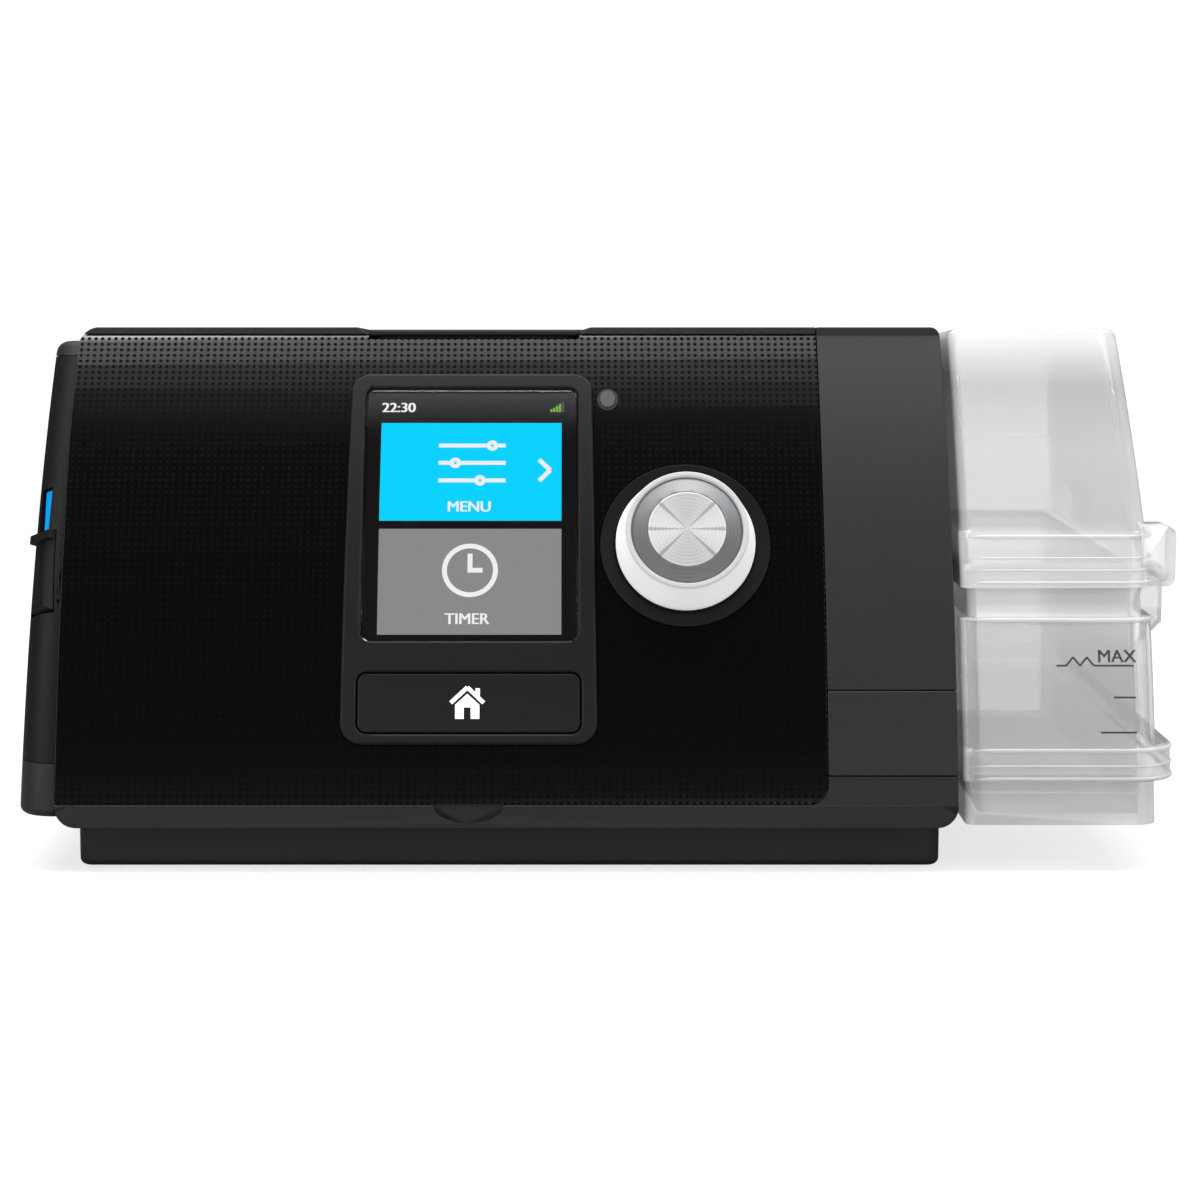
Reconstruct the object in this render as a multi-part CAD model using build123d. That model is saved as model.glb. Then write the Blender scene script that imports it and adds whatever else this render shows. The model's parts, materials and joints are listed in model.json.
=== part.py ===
from build123d import *
import os
from math import asin, cos, hypot, radians, sin, sqrt, tan

# Bedside CPAP machine with a slide-in heated water tub.
# Millimetres, +Z up, the face looks along -Y, the origin is the centre of the footprint on the table.

# ---------------------------------------------------------------- driving dimensions
# whole machine
length = 255.0             # left side to the end of the tub's lug
depth = 150.0              # chin to rear wall
height = 117.0             # table to the front lip of the deck
wall = 2.5                 # moulded wall of every casing piece
seam = 0.2                 # joint line between two casing pieces
gap = 0.3                  # running gap round a moving piece
floor_z = 10.0             # underside of the lower case
bite = 1.0                 # overlap where two forms of one piece run together
press_fit = 0.02           # round a part pressed into its bore

# curved face, an arc in the side view
face_radius = 248.5
face_foot_lean = 11.67     # degrees back from upright at its foot
face_foot_z = 15.2
chin_proud = 0.3           # how far the chin stands in front of the face's foot
lip_height = 1.8           # deck's front lip above the face's top end
lip_lap = 0.5              # face's inner edge behind the lip, and as far again to the deck's
deck_slope = 4.0           # degrees, the deck falls towards the rear
rear_roll = 22.0           # radius from deck to rear wall

# widths along the length
side_width = 8.8           # left side, beyond the face
column_width = 28.3        # dock column right of the face
tub_reach = 49.5           # tub outside the machine, its lug included

# left side
side_step = 0.8            # side stands back from the face
side_drop = 3.0            # side's top below the deck's lip
side_draft = 1.4           # degrees
side_corner = 8.0          # radius of its front and rear corners
side_foot_rise = 2.2       # side's underside above the lower case's
side_bottom_round = 1.5
inner_round = 0.5          # smallest rounding inside the casing
side_top_round = 3.0
side_cap_height = 3.5      # cap along the side's top
side_foot_z = 23.8         # seam above the lower case
deck_corner = 2.2          # rounding at the column's top right
chin_corner = 4.5          # rounding at the chin's ends

# column seams
label_top_z = 39.3
label_foot_z = 21.2
rear_seam_drop = 31.0      # seam between rear wall and deck, below the lip
face_corner = 4.4          # rounding of the face's lower right corner
scallop_width = 15.3       # finger scallop in the chin
scallop_depth = 4.2
scallop_cut = 1.5          # how far it runs into the chin

# plinth and feet
plinth_inset_left = 13.1
plinth_inset_right = 3.3
plinth_inset_front = 4.6
plinth_inset_rear = 6.0
plinth_round = 3.0
foot_stand = 0.6           # rubber showing below the plinth
foot_radius = 6.0
foot_sink = 1.2
foot_round = 0.3
foot_inset = 13.0
screw_inset = 27.0
screw_radius = 1.5
screw_head_radius = 2.8
screw_head_height = 1.6
screw_bite = 3.0           # screw above the lower case's floor
screw_boss = 5.0           # boss above that floor
screw_hole = 4.0           # hole above that floor

# screen
screen_to_dial = 47.6      # screen's middle to the dial's axis
bezel_top_width = 54.1
bezel_foot_width = 56.2
bezel_foot_arc = 13.2      # arc distances are measured up the face from its foot
bezel_top_margin = 11.2    # bezel's top end to the face's top end
bezel_proud = 1.2
bezel_depth = 4.0
bezel_round = 4.5
glass_width = 47.5
glass_foot_arc = 35.8
glass_rim = 3.7            # bezel above the glass
glass_round = 2.0
glass_sink = 0.9           # below the bezel's front
glass_thick = 1.4
screen_width = 41.5
screen_margin = 2.0
screen_thick = 3.0
screen_round = 1.0
screen_foot_inset = 3.0     # display's foot on the board, in from its sides
screen_foot_short = 8.0     # and from its top and bottom
screen_foot_bite = 2.0      # and into its back
home_width = 48.6
home_foot_arc = 15.6
home_top_arc = 28.6
home_proud = 0.9
home_thick = 3.0
home_round = 2.0
home_lip_out = 1.0          # lips behind the bezel, beyond the key's ends
home_lip_half = 3.0
home_lip_thick = 1.0
home_lip_gap = 0.2
home_stem_in = 2.0
home_switch_size = 6.0
home_switch_height = 1.4

# dial
dial_to_column = 30.7      # dial's axis to the column
dial_arc = 57.8
ring_radius = 18.8
ring_thick = 3.5
ring_proud = 0.4
ring_floor = 1.2
ring_bevel = 0.6
ring_hole = 2.0            # clearance of the shaft in the ring's floor
skirt_radius = 15.4
skirt_top_radius = 13.3
skirt_foot = 0.7           # height of the skirt's foot above the face
skirt_hem = 1.5            # upright part at its foot
skirt_top = 11.0
skirt_wall = 2.0
cap_seat = 9.0             # height of the cap's seat in the skirt
cap_radius = 12.2
cap_top = 11.2
cap_fall = 0.9             # cap's rim below its top
cap_face_radius = 8.5
disc_thick = 0.8
shaft_radius = 3.0
shaft_fit = 0.05
encoder_size = 13.0
encoder_floor = 0.8
encoder_low = 0.6          # encoder's top below its collar's
plunger_radius = 4.6
plunger_depth = 3.2        # collar's top below the face
shaft_rise = 1.8           # shaft's end above the main board
collar_rise = 0.6          # collar's end above the shaft's

# light sensor beside the screen
sensor_from_screen = 30.6  # right of the screen's middle
sensor_drop = 2.4          # below the glass's top end
sensor_width = 3.4
sensor_height = 4.2
sensor_thick = 2.4
sensor_proud = 0.3

# start button in the deck
start_from_screen = 0.2
start_width = 47.5
start_depth = 15.8
start_sink = 0.8
start_thick = 1.1
start_travel = 0.6
notch_flare = 2.7          # chamfer each side of the notch
start_clear = 0.2          # face's top end below the pressed button
start_round = 0.35
start_stem_in = 2.0        # stem in from the button's ends
start_stem_front = 4.2
start_stem_rear = 1.0
start_lip_out = 2.0        # lips under the deck, beyond the button's ends
start_lip_thick = 1.0
start_lip_gap = 0.4
start_lip_in = 1.0         # lips in from the stem's front and rear
start_post_out = 5.0       # posts of the switch's board, beyond the button's ends
start_post_radius = 2.2
start_board_low = 8.0      # foot of the posts below the deck
start_board_half = 5.0
start_board_over = 2.0     # board beyond its posts
start_board_thick = 1.2
start_key_half = 3.0

# circuit boards
board_set = 10.5           # main board behind the face, at the dial
board_thick = 1.6
board_from_left = 26.7     # board's left end to the face's left end
board_down = 38.0
board_up = 32.0
board_inset = 4.0
boss_radius = 3.0
board_screw_radius = 1.05
board_head_radius = 2.4
board_head_height = 1.5
board_screw_length = 5.0
boss_end = 2.0             # boss left whole in front of its screw's hole
part_gap = 0.1
shield_x = 17.0            # shielded radio, from the board's left end and up from the dial's axis
shield_y = 12.0
shield_width = 22.0
shield_tall = 26.0
shield_high = 2.6
processor_x = 52.0
processor_y = 8.0
processor_size = 16.0
processor_high = 1.6
sense_x = 80.0             # pressure sensor
sense_y = 14.0
sense_size = 10.0
sense_high = 1.4
connector_count = 3
connector_first = 12.0
connector_spacing = 42.0
connector_drop = 20.0
connector_width = 14.0
connector_tall = 8.0
connector_high = 2.8
power_z = 18.0             # underside of the power board
power_width = 24.0
power_depth = 38.0
power_from_bay = 4.0
power_from_rear = 15.0
power_post_inset = 4.0
coil_size = 14.0
coil_high = 10.0
coil_inset = 7.0
capacitor_radius = 3.5
capacitor_high = 11.0
capacitor_spacing = 10.0
capacitor_from_front = 29.0

# dock and tub
dock_reach = 58.0          # how far the bay runs into the machine
dock_wall = 2.0
bay_from_front = 39.0
bay_from_rear = 25.0
bay_floor_z = 16.9
bay_top_z = 58.5
slide_gap = 0.6
tub_gap = 1.3              # between machine and tub, outside the bay
tub_wall = 2.0
tub_width = 42.9
tub_floor_z = 10.6
tub_from_rear = 7.0
tub_step = 0.4             # tub stands back from the line of the face
foot_step = 1.0
flange_foot_z = 20.0
flange_top_z = 27.0
flange_reach = 3.8
flange_front = 0.3         # flange in front of the wall
shoulder_z = 54.3
neck_inset = 2.0
neck_top_z = 64.0
lid_foot_z = 60.9
band_top_z = 72.6
band_proud = 0.7
band_front = 0.35          # band in front of the wall
band_left = 0.4            # band in from the wall at the left
lid_left = 0.8             # lid in from the wall at the left
lid_right = 0.3            # and at the right
lid_wall = 1.8
lid_play = 0.9
lid_side_lean = 3.6        # degrees
lid_round = 2.5
tub_round = 2.0
tub_corner = 6.0
lid_drop = 0.3             # lid's top below the deck's lip
seal_thick = 1.4
pivot_in = 2.3             # lid pivot in from the lug's end
pivot_z = 62.8
knuckle_radius = 2.0
lug_length = 12.0
lug_top_z = 74.0
lug_root = 2.0             # lug into the lid's band
lug_round = 1.8
ear_length = 4.6
ear_drop = 9.0             # how far the ear's web runs down the base
hinge_pin_radius = 1.0
hinge_pin_in = 2.0         # pin's end in from the lug's end
hinge_bore_in = 1.5        # bore's end in from the lug's end
hinge_from_front = 18.0    # front lug's front end to the chin
hinge_from_rear = 26.0     # rear lug's front end to the rear wall
port_z = 41.0
port_radius = 8.0
port_lip = 1.5             # thickness of the boot round a port
seal_ring = 3.0            # width of the seal round a port
baffle_wall = 1.5
baffle_reach = 10.0
port_spacing = 35.0
baffle_top_z = 52.0
plate_length = 44.0
plate_depth = 58.0
plate_thick = 1.0
plate_lip = 2.5
heater_thick = 3.0
heater_rim = 1.0           # heater beyond the tub's plate
insulator_in = 2.0
seal_face = 0.2

# rear wall
outlet_from_dock = 26.0
outlet_rise = 7.5          # duct above the bay
outlet_radius = 11.0
outlet_bore = 9.0
outlet_length = 19.0
outlet_sink = 1.0          # cone's end in front of the rear wall
outlet_round = 0.8
outlet_flange = 3.0        # flange on the pocket's floor, beyond the cone
outlet_flange_thick = 1.5
outlet_pocket = 19.0
contact_count = 3          # contacts for a heated tube
contact_pitch = 4.0
contact_width = 2.0
contact_reach = 5.0
contact_below = 4.0        # below the cone
contact_thick = 1.2
cup_wall = 2.0
duct_radius = 10.0
duct_bore = 8.4
duct_turn = 13.0           # duct's upright run, left of the bay
filter_from_left = 26.7
filter_width = 42.0
filter_below_seam = 23.0
filter_height = 41.0
filter_pocket = 12.0
filter_pad_thick = 6.0
grille_count = 5           # slots behind the filter pad
grille_pitch = 6.8
grille_slot = 3.0
grille_inset = 4.0
cover_slot_count = 7       # slots in the filter cover
cover_slot_pitch = 5.0
cover_slot = 1.8
cover_slot_inset = 7.0
flap_pin_radius = 0.6
flap_pin_length = 1.2
inlet_from_dock = 78.0
inlet_z = 30.0
inlet_width = 22.0
inlet_height = 15.0
inlet_depth = 16.0
inlet_wall = 1.5
inlet_floor = 3.0
inlet_pin_count = 3
inlet_pin_pitch = 5.0
inlet_pin_radius = 1.0
inlet_pin_sink = 3.0       # pins' ends behind the rear wall
clip_from_inlet = 22.0
clip_width = 15.0
clip_height = 9.0

# left side openings
adapter_from_rear = 55.0
adapter_width = 40.0
adapter_z = 55.0
adapter_height = 36.0
card_arc = 59.9            # middle of the card's edge
card_width = 24.0
card_length = 32.0
card_thick = 2.1
card_sink = 1.0
card_play = 0.35
card_press = 1.0
card_corner = 3.0          # cut corner of the card
socket_play = 0.2          # round the card in its socket
socket_wall = 1.1
socket_end_play = 0.4      # behind the pressed card
flap_width = 7.0
flap_foot_arc = 43.0
flap_top_arc = 61.6
flap_pivot_depth = 2.2
flap_barrel = 2.0
flap_pin = 0.5
flap_pin_reach = 0.8
grip_height = 2.0
grip_proud = 1.0
grip_root = 1.5            # grip bar's root in the flap
groove_width = 1.0         # groove down the flap
groove_depth = 0.3
notch_top_arc = 72.4
notch_width = 3.6

# blower and air path
blower_off_middle = 12.65  # left of the middle between the face's left end and the bay
blower_from_rear = 70.0
blower_radius = 36.0
blower_wall = 2.0
blower_foot_z = 20.0
blower_split_z = 46.0
blower_neck_z = 52.0
eye_radius = 13.0
volute_width = 18.0
volute_lip = 4.0           # volute's outlet beyond the cup
impeller_radius = 30.0
impeller_z = 37.0
impeller_disc = 1.5
blade_height = 6.5
blade_count = 11
blade_thick = 1.2
blade_start = 7.0          # blades from the hub outwards
blade_offset = 4.0         # and off the wheel's middle
blade_sweep = 18.0         # degrees
blade_short = 0.5          # inside the wheel's rim
hub_radius = 3.75
motor_shaft_radius = 1.5
stator_radius = 13.0
stator_height = 11.0
pole_count = 6
slot_start = 7.0           # winding slots, from the motor's axis
slot_width = 2.0
stator_floor = 2.0
bearing_radius = 4.0
bearing_height = 3.0
mount_radius = 5.0
mount_ear = 1.0            # housing's ear round a mount, and as far into the cup's wall
muffler_wall = 2.0
muffler_left = 3.0         # beyond the filter's middle
muffler_clear = 6.0        # behind the main board's upper edge
muffler_drop = 21.0        # top below the lip
muffler_window = 4.0       # frame round its opening to the filter
foam_thick = 8.0

# ---------------------------------------------------------------- places worked out from them
x_left = -length / 2
x_right = length / 2
dock_x = x_right - tub_reach               # machine's right end
face_x0 = x_left + side_width
column_x0 = dock_x - column_width
face_x1 = column_x0
front_y = -depth / 2
rear_y = depth / 2
foot_y = front_y + chin_proud
foot_lean = radians(face_foot_lean)
centre_y = foot_y + face_radius * cos(foot_lean)
centre_z = face_foot_z - face_radius * sin(foot_lean)
face_top_z = height - lip_height
face_arc = face_radius * (asin((face_top_z - centre_z) / face_radius) - foot_lean)
lip_y = centre_y - sqrt(face_radius ** 2 - (face_top_z - centre_z) ** 2)
slope = radians(deck_slope)
side_wide_z = floor_z + side_foot_rise + side_bottom_round
side_cap_z = height - side_drop - side_cap_height
rear_seam_z = height - rear_seam_drop
dial_x = face_x1 - dial_to_column
screen_x = dial_x - screen_to_dial
sensor_x = screen_x + sensor_from_screen
start_x = screen_x + start_from_screen
bezel_top_arc = face_arc - bezel_top_margin
glass_top_arc = bezel_top_arc - glass_rim
sensor_arc = glass_top_arc - sensor_drop
bay_x = dock_x - dock_reach
bay_front_y = front_y + bay_from_front
bay_rear_y = rear_y - bay_from_rear
tub_x0 = dock_x + tub_gap
tub_x1 = tub_x0 + tub_width
tub_rear_y = rear_y - tub_from_rear
hinge_front_y = front_y + hinge_from_front
hinge_rear_y = rear_y - hinge_from_rear
outlet_x = dock_x - outlet_from_dock
outlet_z = bay_top_z + dock_wall + duct_radius + outlet_rise
duct_turn_x = bay_x - dock_wall - duct_turn
filter_x = face_x0 + filter_from_left
filter_z = rear_seam_z - filter_below_seam
inlet_x = dock_x - inlet_from_dock
clip_x = inlet_x - clip_from_inlet
adapter_y = rear_y - adapter_from_rear
blower_x = (face_x0 + bay_x) / 2 - blower_off_middle
blower_y = rear_y - blower_from_rear


# ---------------------------------------------------------------- helpers
def block(x0, x1, y0, y1, z0, z1):
    """A box between two corners."""
    return Pos((x0 + x1) / 2, (y0 + y1) / 2, (z0 + z1) / 2) * Box(x1 - x0, y1 - y0, z1 - z0)


def rod(plane, radius, low, high):
    """A round bar along a plane's normal, from height low to height high."""
    return plane * Pos(0, 0, (low + high) / 2) * Cylinder(radius, high - low)


def slab(plane, outline, low, high):
    """A flat outline on a plane, made solid from height low to height high."""
    return plane * Pos(0, 0, low) * extrude(outline, high - low)


def turned(*points):
    """A solid of revolution about Z from points (radius, height)."""
    return revolve(Plane.XZ * Polygon(*points, align=None), Axis.Z)


def spread(middle, count, pitch):
    """Places of a row of equal steps about its middle."""
    return [middle + (k - (count - 1) / 2) * pitch for k in range(count)]


def lengthwise(side_view, x0, x1):
    """A side view (Y, Z) made solid along X."""
    return Pos(x0, 0, 0) * extrude(Plane.YZ * side_view, x1 - x0)


def lean_at(arc):
    """Lean of the face, in radians, at an arc distance from its foot."""
    return foot_lean + arc / face_radius


def face_point(arc, behind=0.0):
    """Side-view point (Y, Z) at an arc distance, some way behind the face."""
    lean = lean_at(arc)
    reach = face_radius - behind
    return centre_y - reach * cos(lean), centre_z + reach * sin(lean)


def face_plane(x, arc):
    """Plane touching the face: its X is the row's X, its Y runs up the face, its Z points out."""
    y, z = face_point(arc)
    lean = lean_at(arc)
    return Plane(origin=(x, y, z), x_dir=(1, 0, 0), z_dir=(0, -cos(lean), sin(lean)))


def arc_edge(arc0, arc1, behind):
    """Edge along the face between two arc distances, some way behind it."""
    return ThreePointArc(*[face_point(a, behind) for a in (arc0, (arc0 + arc1) / 2, arc1)])


def face_slab(x0, x1, arc0, arc1, out, back):
    """A slab that follows the face, from out in front of it to back behind it."""
    front, rear = arc_edge(arc0, arc1, -out), arc_edge(arc0, arc1, back)
    ends = [Line(front @ 0, rear @ 0), Line(front @ 1, rear @ 1)]
    return lengthwise(make_face([front, rear, *ends]), x0, x1)


def deck_plane(x):
    """Plane on the deck at its front lip: its Y runs to the rear, its Z points up out of the deck."""
    return Plane(origin=(x, lip_y, height), x_dir=(1, 0, 0), z_dir=(0, sin(slope), cos(slope)))


def corner_at(sketch, y, z):
    """The sketch's corner nearest to a side-view point."""
    return min(sketch.vertices(), key=lambda v: hypot(v.X - y, v.Y - z))


def case_side():
    """Side view of the machine: curved face, lip, sloping deck, rear wall, underside."""
    face = arc_edge(0, face_arc, 0)
    deck_rear_z = height - (rear_y - lip_y) * tan(slope)
    points = [face @ 1, (lip_y, height), (rear_y, deck_rear_z), (rear_y, floor_z), (foot_y, floor_z),
              face @ 0]
    outline = make_face([face, *(Line(a, b) for a, b in zip(points, points[1:]))])
    return fillet(corner_at(outline, rear_y, deck_rear_z), rear_roll)


def side_view(step, low, drop, rear=0.0):
    """Side view kept a step inside the machine's: face run down to low, deck lowered by drop, rear roll."""
    radius, top, back = face_radius - step, height - drop, rear_y - step - rear
    arc_low, arc_top = (face_radius * (asin((z - centre_z) / radius) - foot_lean) for z in (low, top))
    face = arc_edge(arc_low, arc_top, step)
    deck_rear_z = top - (back - (face @ 1).X) * tan(slope)
    points = [face @ 1, (back, deck_rear_z), (back, low), face @ 0]
    outline = make_face([face, *(Line(a, b) for a, b in zip(points, points[1:]))])
    return fillet(corner_at(outline, back, deck_rear_z), rear_roll - step)


def on_deck(edge, drop):
    """Whether an edge lies in the deck's plane lowered by drop."""
    at = edge.center()
    return abs(height - drop - (at.Y - lip_y) * tan(slope) - at.Z) < 0.2


def leaning_cut(x, lean, direction):
    """Big block beyond a wall that leans inwards as it rises; direction is -1 at the left, 1 at the right."""
    reach = 2 * length
    turn = Pos(x, 0, side_wide_z) * Rot(0, -direction * lean, 0)
    return turn * Pos(direction * reach / 2, 0, 0) * Box(reach, reach, reach)


def side_block(inset):
    """Left end of the body: rounded corners and a slight draft, inset for its inner surface."""
    low, drop = floor_z + side_foot_rise + inset, side_drop + inset
    bottom_round = max(side_bottom_round - inset, inner_round)
    view = side_view(side_step + inset, low, drop)
    body = lengthwise(view, x_left + inset - 1, face_x0) - leaning_cut(x_left + inset, side_draft, -1)
    outer = body.faces().sort_by(Axis.X)[0]
    body = fillet(outer.edges().sort_by(Axis.Y)[:1], side_corner - inset)
    free = [e for e in body.edges() if e.center().X < face_x0 - 0.01]
    back = rear_y - side_step - inset - rear_roll
    rim = [e for e in free if on_deck(e, drop) or (e.center().Y > back and e.center().Z > low + 2 * wall
                                                   and e.center().X < face_x0 - 1)]
    body = fillet(rim, side_top_round - inset)
    free = [e for e in body.edges() if e.center().X < face_x0 - 0.01]
    return fillet([e for e in free if abs(e.center().Z - low) < 0.01], bottom_round)


def case_outer():
    """Outside of the body, without its plinth."""
    body = lengthwise(case_side(), face_x0, dock_x)
    ends = body.faces().sort_by(Axis.X)[-1].edges()
    body = fillet([e for e in ends if e.center().Z > rear_seam_z and e.center().Y > lip_y + 1], deck_corner)
    for end in (0, -1):
        low = body.faces().sort_by(Axis.X)[end].edges()
        body = fillet([e for e in low if abs(e.center().Z - floor_z) < 0.01], chin_corner)
    return body + side_block(0)


def inner_side():
    """Side view of the space inside the casing."""
    return offset(case_side(), amount=-wall, kind=Kind.INTERSECTION)


def case_inner():
    """Space inside the casing: open at the right above the chin, closed below."""
    space = lengthwise(inner_side(), face_x0 - 0.01, dock_x - wall)
    space -= block(face_x0 - bite, face_x0 + wall, -depth, depth, 0, floor_z + side_foot_rise + wall)
    mouth = lengthwise(inner_side(), face_x0, dock_x + 1) & block(
        dock_x - 2 * wall, dock_x + 1, -depth, depth, face_foot_z, height)
    return space + mouth + side_block(wall)


def hinge_barrel(x, z0, z1):
    """Barrel of a rear flap and its two pivot pins, upright, inside the rear wall's thickness."""
    axis = Plane(origin=(x, rear_y - wall / 2, 0))
    pins = rod(axis, flap_pin_radius, z0 - flap_pin_length, z1 + flap_pin_length)
    return rod(axis, wall / 2, z0, z1) + pins


def flap_hole(x0, x1, z0, z1):
    """Opening in the rear wall for a flap, with the holes of its pivot pins."""
    axis = Plane(origin=(x0 + gap + wall / 2, rear_y - wall / 2, 0))
    reach = flap_pin_length + gap
    pins = rod(axis, flap_pin_radius + shaft_fit, z0 - reach, z1 + reach)
    return block(x0, x1, rear_y - wall - 0.01, rear_y + 1, z0, z1) + pins


def flap(x0, x1, z0, z1):
    """Flap that fills an opening in the rear wall and turns on its left edge."""
    hinge_x = x0 + gap + wall / 2
    leaf = block(hinge_x, x1 - gap, rear_y - wall, rear_y, z0 + gap, z1 - gap)
    return leaf + hinge_barrel(hinge_x, z0 + gap, z1 - gap)


# ---------------------------------------------------------------- places of openings
bezel_arc = (bezel_foot_arc + bezel_top_arc) / 2
bezel_height = bezel_top_arc - bezel_foot_arc
glass_arc = (glass_foot_arc + glass_top_arc) / 2
home_arc = (home_foot_arc + home_top_arc) / 2
board_plane = face_plane(0, dial_arc)
board_left_x = face_x0 + board_from_left
board_front = -board_set
board_back = board_front - board_thick
board_x1 = face_x1 - boss_radius
board_corners = [(x, y) for x in (board_left_x + board_inset, board_x1 - board_inset)
                 for y in (-board_down + board_inset, board_up - board_inset)]
filter_box = (filter_x - filter_width / 2, filter_x + filter_width / 2,
              filter_z - filter_height / 2, filter_z + filter_height / 2)
clip_box = (clip_x - clip_width / 2, clip_x + clip_width / 2,
            inlet_z - clip_height / 2, inlet_z + clip_height / 2)
filter_floor_y = rear_y - filter_pocket
outlet_floor_y = rear_y - outlet_length - outlet_sink
outlet_axis = Plane(origin=(outlet_x, outlet_floor_y, outlet_z), x_dir=(1, 0, 0), z_dir=(0, 1, 0))
tongue_x0 = bay_x + seal_thick + gap
pivot_x = x_right - pivot_in
heater_top_z = bay_floor_z + gap
tongue_z0 = bay_floor_z + slide_gap
plate_x = (tongue_x0 + dock_x) / 2
plate_y = (bay_front_y + bay_rear_y) / 2

start_floor = start_sink + start_thick + start_travel + start_clear
power_box = (bay_x - dock_wall - power_from_bay - power_width, bay_x - dock_wall - power_from_bay,
             rear_y - power_from_rear - power_depth, rear_y - power_from_rear)
muffler_front_y = (board_plane * Pos(0, board_up, board_back)).position.Y + muffler_clear
muffler_box = (filter_x - muffler_left, blower_x + blower_radius, muffler_front_y,
               filter_floor_y - cup_wall - part_gap, blower_neck_z + part_gap, height - muffler_drop)

card_lean = lean_at(card_arc)
card_normal = Vector(-1, -cos(card_lean), sin(card_lean)).normalized()
side_front = face_point(card_arc, side_step + side_corner)
card_drift = (side_front[1] - side_wide_z) * tan(radians(side_draft))
card_origin = Vector(x_left + side_corner + card_drift, *side_front) + card_normal * side_corner
card_plane = Plane(origin=card_origin, x_dir=Vector(0, sin(card_lean), cos(card_lean)).cross(card_normal),
                   z_dir=card_normal)


def bezel_outline(grow):
    """Bezel's outline, a little wider at its foot."""
    top, low, half = bezel_top_width / 2 + grow, bezel_foot_width / 2 + grow, bezel_height / 2 + grow
    shape = Polygon((-low, -half), (low, -half), (top, half), (-top, half), align=None)
    return fillet(shape.vertices(), bezel_round)


def sensor_outline(grow):
    """Upright oval of the light sensor."""
    return Ellipse(sensor_width / 2 + grow, sensor_height / 2 + grow)


# ---------------------------------------------------------------- casing
shell = case_outer() - case_inner()
big = 2 * length
corner_plane = face_plane(face_x1 - seam / 2, face_corner / 2)


def corner_outline(clear, over):
    """What the face's rounded lower right corner leaves free, clear of its arc and over past its edges."""
    half = face_corner / 2
    square = Polygon((-face_corner, -half - over), (over, -half - over), (over, half), (-face_corner, half),
                     align=None)
    return square - Pos(-face_corner, half) * Circle(face_corner + clear)


def base_plinth():
    """Hollow plinth with seats for the feet and for the screws that hold it."""
    x0, x1 = x_left + plinth_inset_left, dock_x - plinth_inset_right
    y0, y1 = front_y + plinth_inset_front, rear_y - plinth_inset_rear
    body = block(x0, x1, y0, y1, foot_stand, floor_z)
    body = fillet(body.edges().filter_by(Axis.Z), plinth_round)
    body = fillet(body.faces().sort_by(Axis.Z)[0].edges(), plinth_round / 2)
    body -= block(x0 + wall, x1 - wall, y0 + wall, y1 - wall, foot_stand + wall, floor_z + 1)
    for x, y in foot_places():
        body -= rod(Plane((x, y, 0)), foot_radius + seam / 2, 0, foot_stand + foot_sink)
    for x, y in screw_places():
        body += rod(Plane((x, y, 0)), 2 * boss_radius, foot_stand + wall / 2, floor_z)
        body -= rod(Plane((x, y, 0)), screw_radius + seam, 0, floor_z + 1)
        body -= rod(Plane((x, y, 0)), screw_head_radius + seam, 0, foot_stand + screw_head_height + seam)
    return body


def plinth_grid(inset):
    """Four points at one inset from the plinth's corners."""
    x0, x1 = x_left + plinth_inset_left, dock_x - plinth_inset_right
    y0, y1 = front_y + plinth_inset_front, rear_y - plinth_inset_rear
    return [(x, y) for x in (x0 + inset, x1 - inset) for y in (y0 + foot_inset, y1 - foot_inset)]


def foot_places():
    return plinth_grid(foot_inset)


def screw_places():
    return plinth_grid(screw_inset)


def rubber_feet():
    """Four feet in the plinth's seats."""
    feet = [rod(Plane((x, y, 0)), foot_radius, 0, foot_stand + foot_sink) for x, y in foot_places()]
    return Compound(children=[fillet(f.edges().sort_by(Axis.Z)[:1], foot_round) for f in feet])


def plinth_screws():
    """Screws up through the plinth into the lower case."""
    screws = []
    for x, y in screw_places():
        head = rod(Plane((x, y, 0)), screw_head_radius, foot_stand + seam,
                   foot_stand + screw_head_height + seam / 2)
        screws.append(head + rod(Plane((x, y, 0)), screw_radius, foot_stand + seam,
                                  floor_z + wall + screw_bite))
    return Compound(children=screws)


def lower_case():
    """Tray under everything: chin in front, foot of the left side, foot of the column."""
    half = seam / 2
    low = shell & (block(-big, big, -big, big, floor_z - 1, face_foot_z - half)
                   + block(-big, face_x0 - half, -big, big, floor_z, side_foot_z - half)
                   + block(column_x0 + half, big, -big, bay_front_y - 2 * dock_wall, floor_z,
                           label_foot_z - half))
    chin = block(face_x0 + chin_corner, dock_x - chin_corner, front_y, foot_y + wall, floor_z,
                 face_foot_z - half)
    chin = chamfer(chin.edges().filter_by(Axis.X).sort_by(Axis.Y)[:2], chin_proud / 2)
    low += chin
    low += shell & slab(corner_plane, corner_outline(seam, 2 * seam), -2 * wall, 2 * wall)
    scallop = Plane(origin=(screen_x, front_y - 1, face_foot_z), x_dir=(1, 0, 0), z_dir=(0, 1, 0))
    low -= scallop * extrude(Ellipse(scallop_width / 2, scallop_depth), 1 + scallop_cut)
    for x, y in screw_places():
        low += rod(Plane((x, y, 0)), boss_radius, floor_z + wall / 2, floor_z + wall + screw_boss)
        low -= rod(Plane((x, y, 0)), screw_radius, floor_z - 1, floor_z + wall + screw_hole)
    for x, y in power_posts():
        low += rod(Plane((x, y, 0)), boss_radius, floor_z + wall / 2, power_z)
    return low


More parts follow.
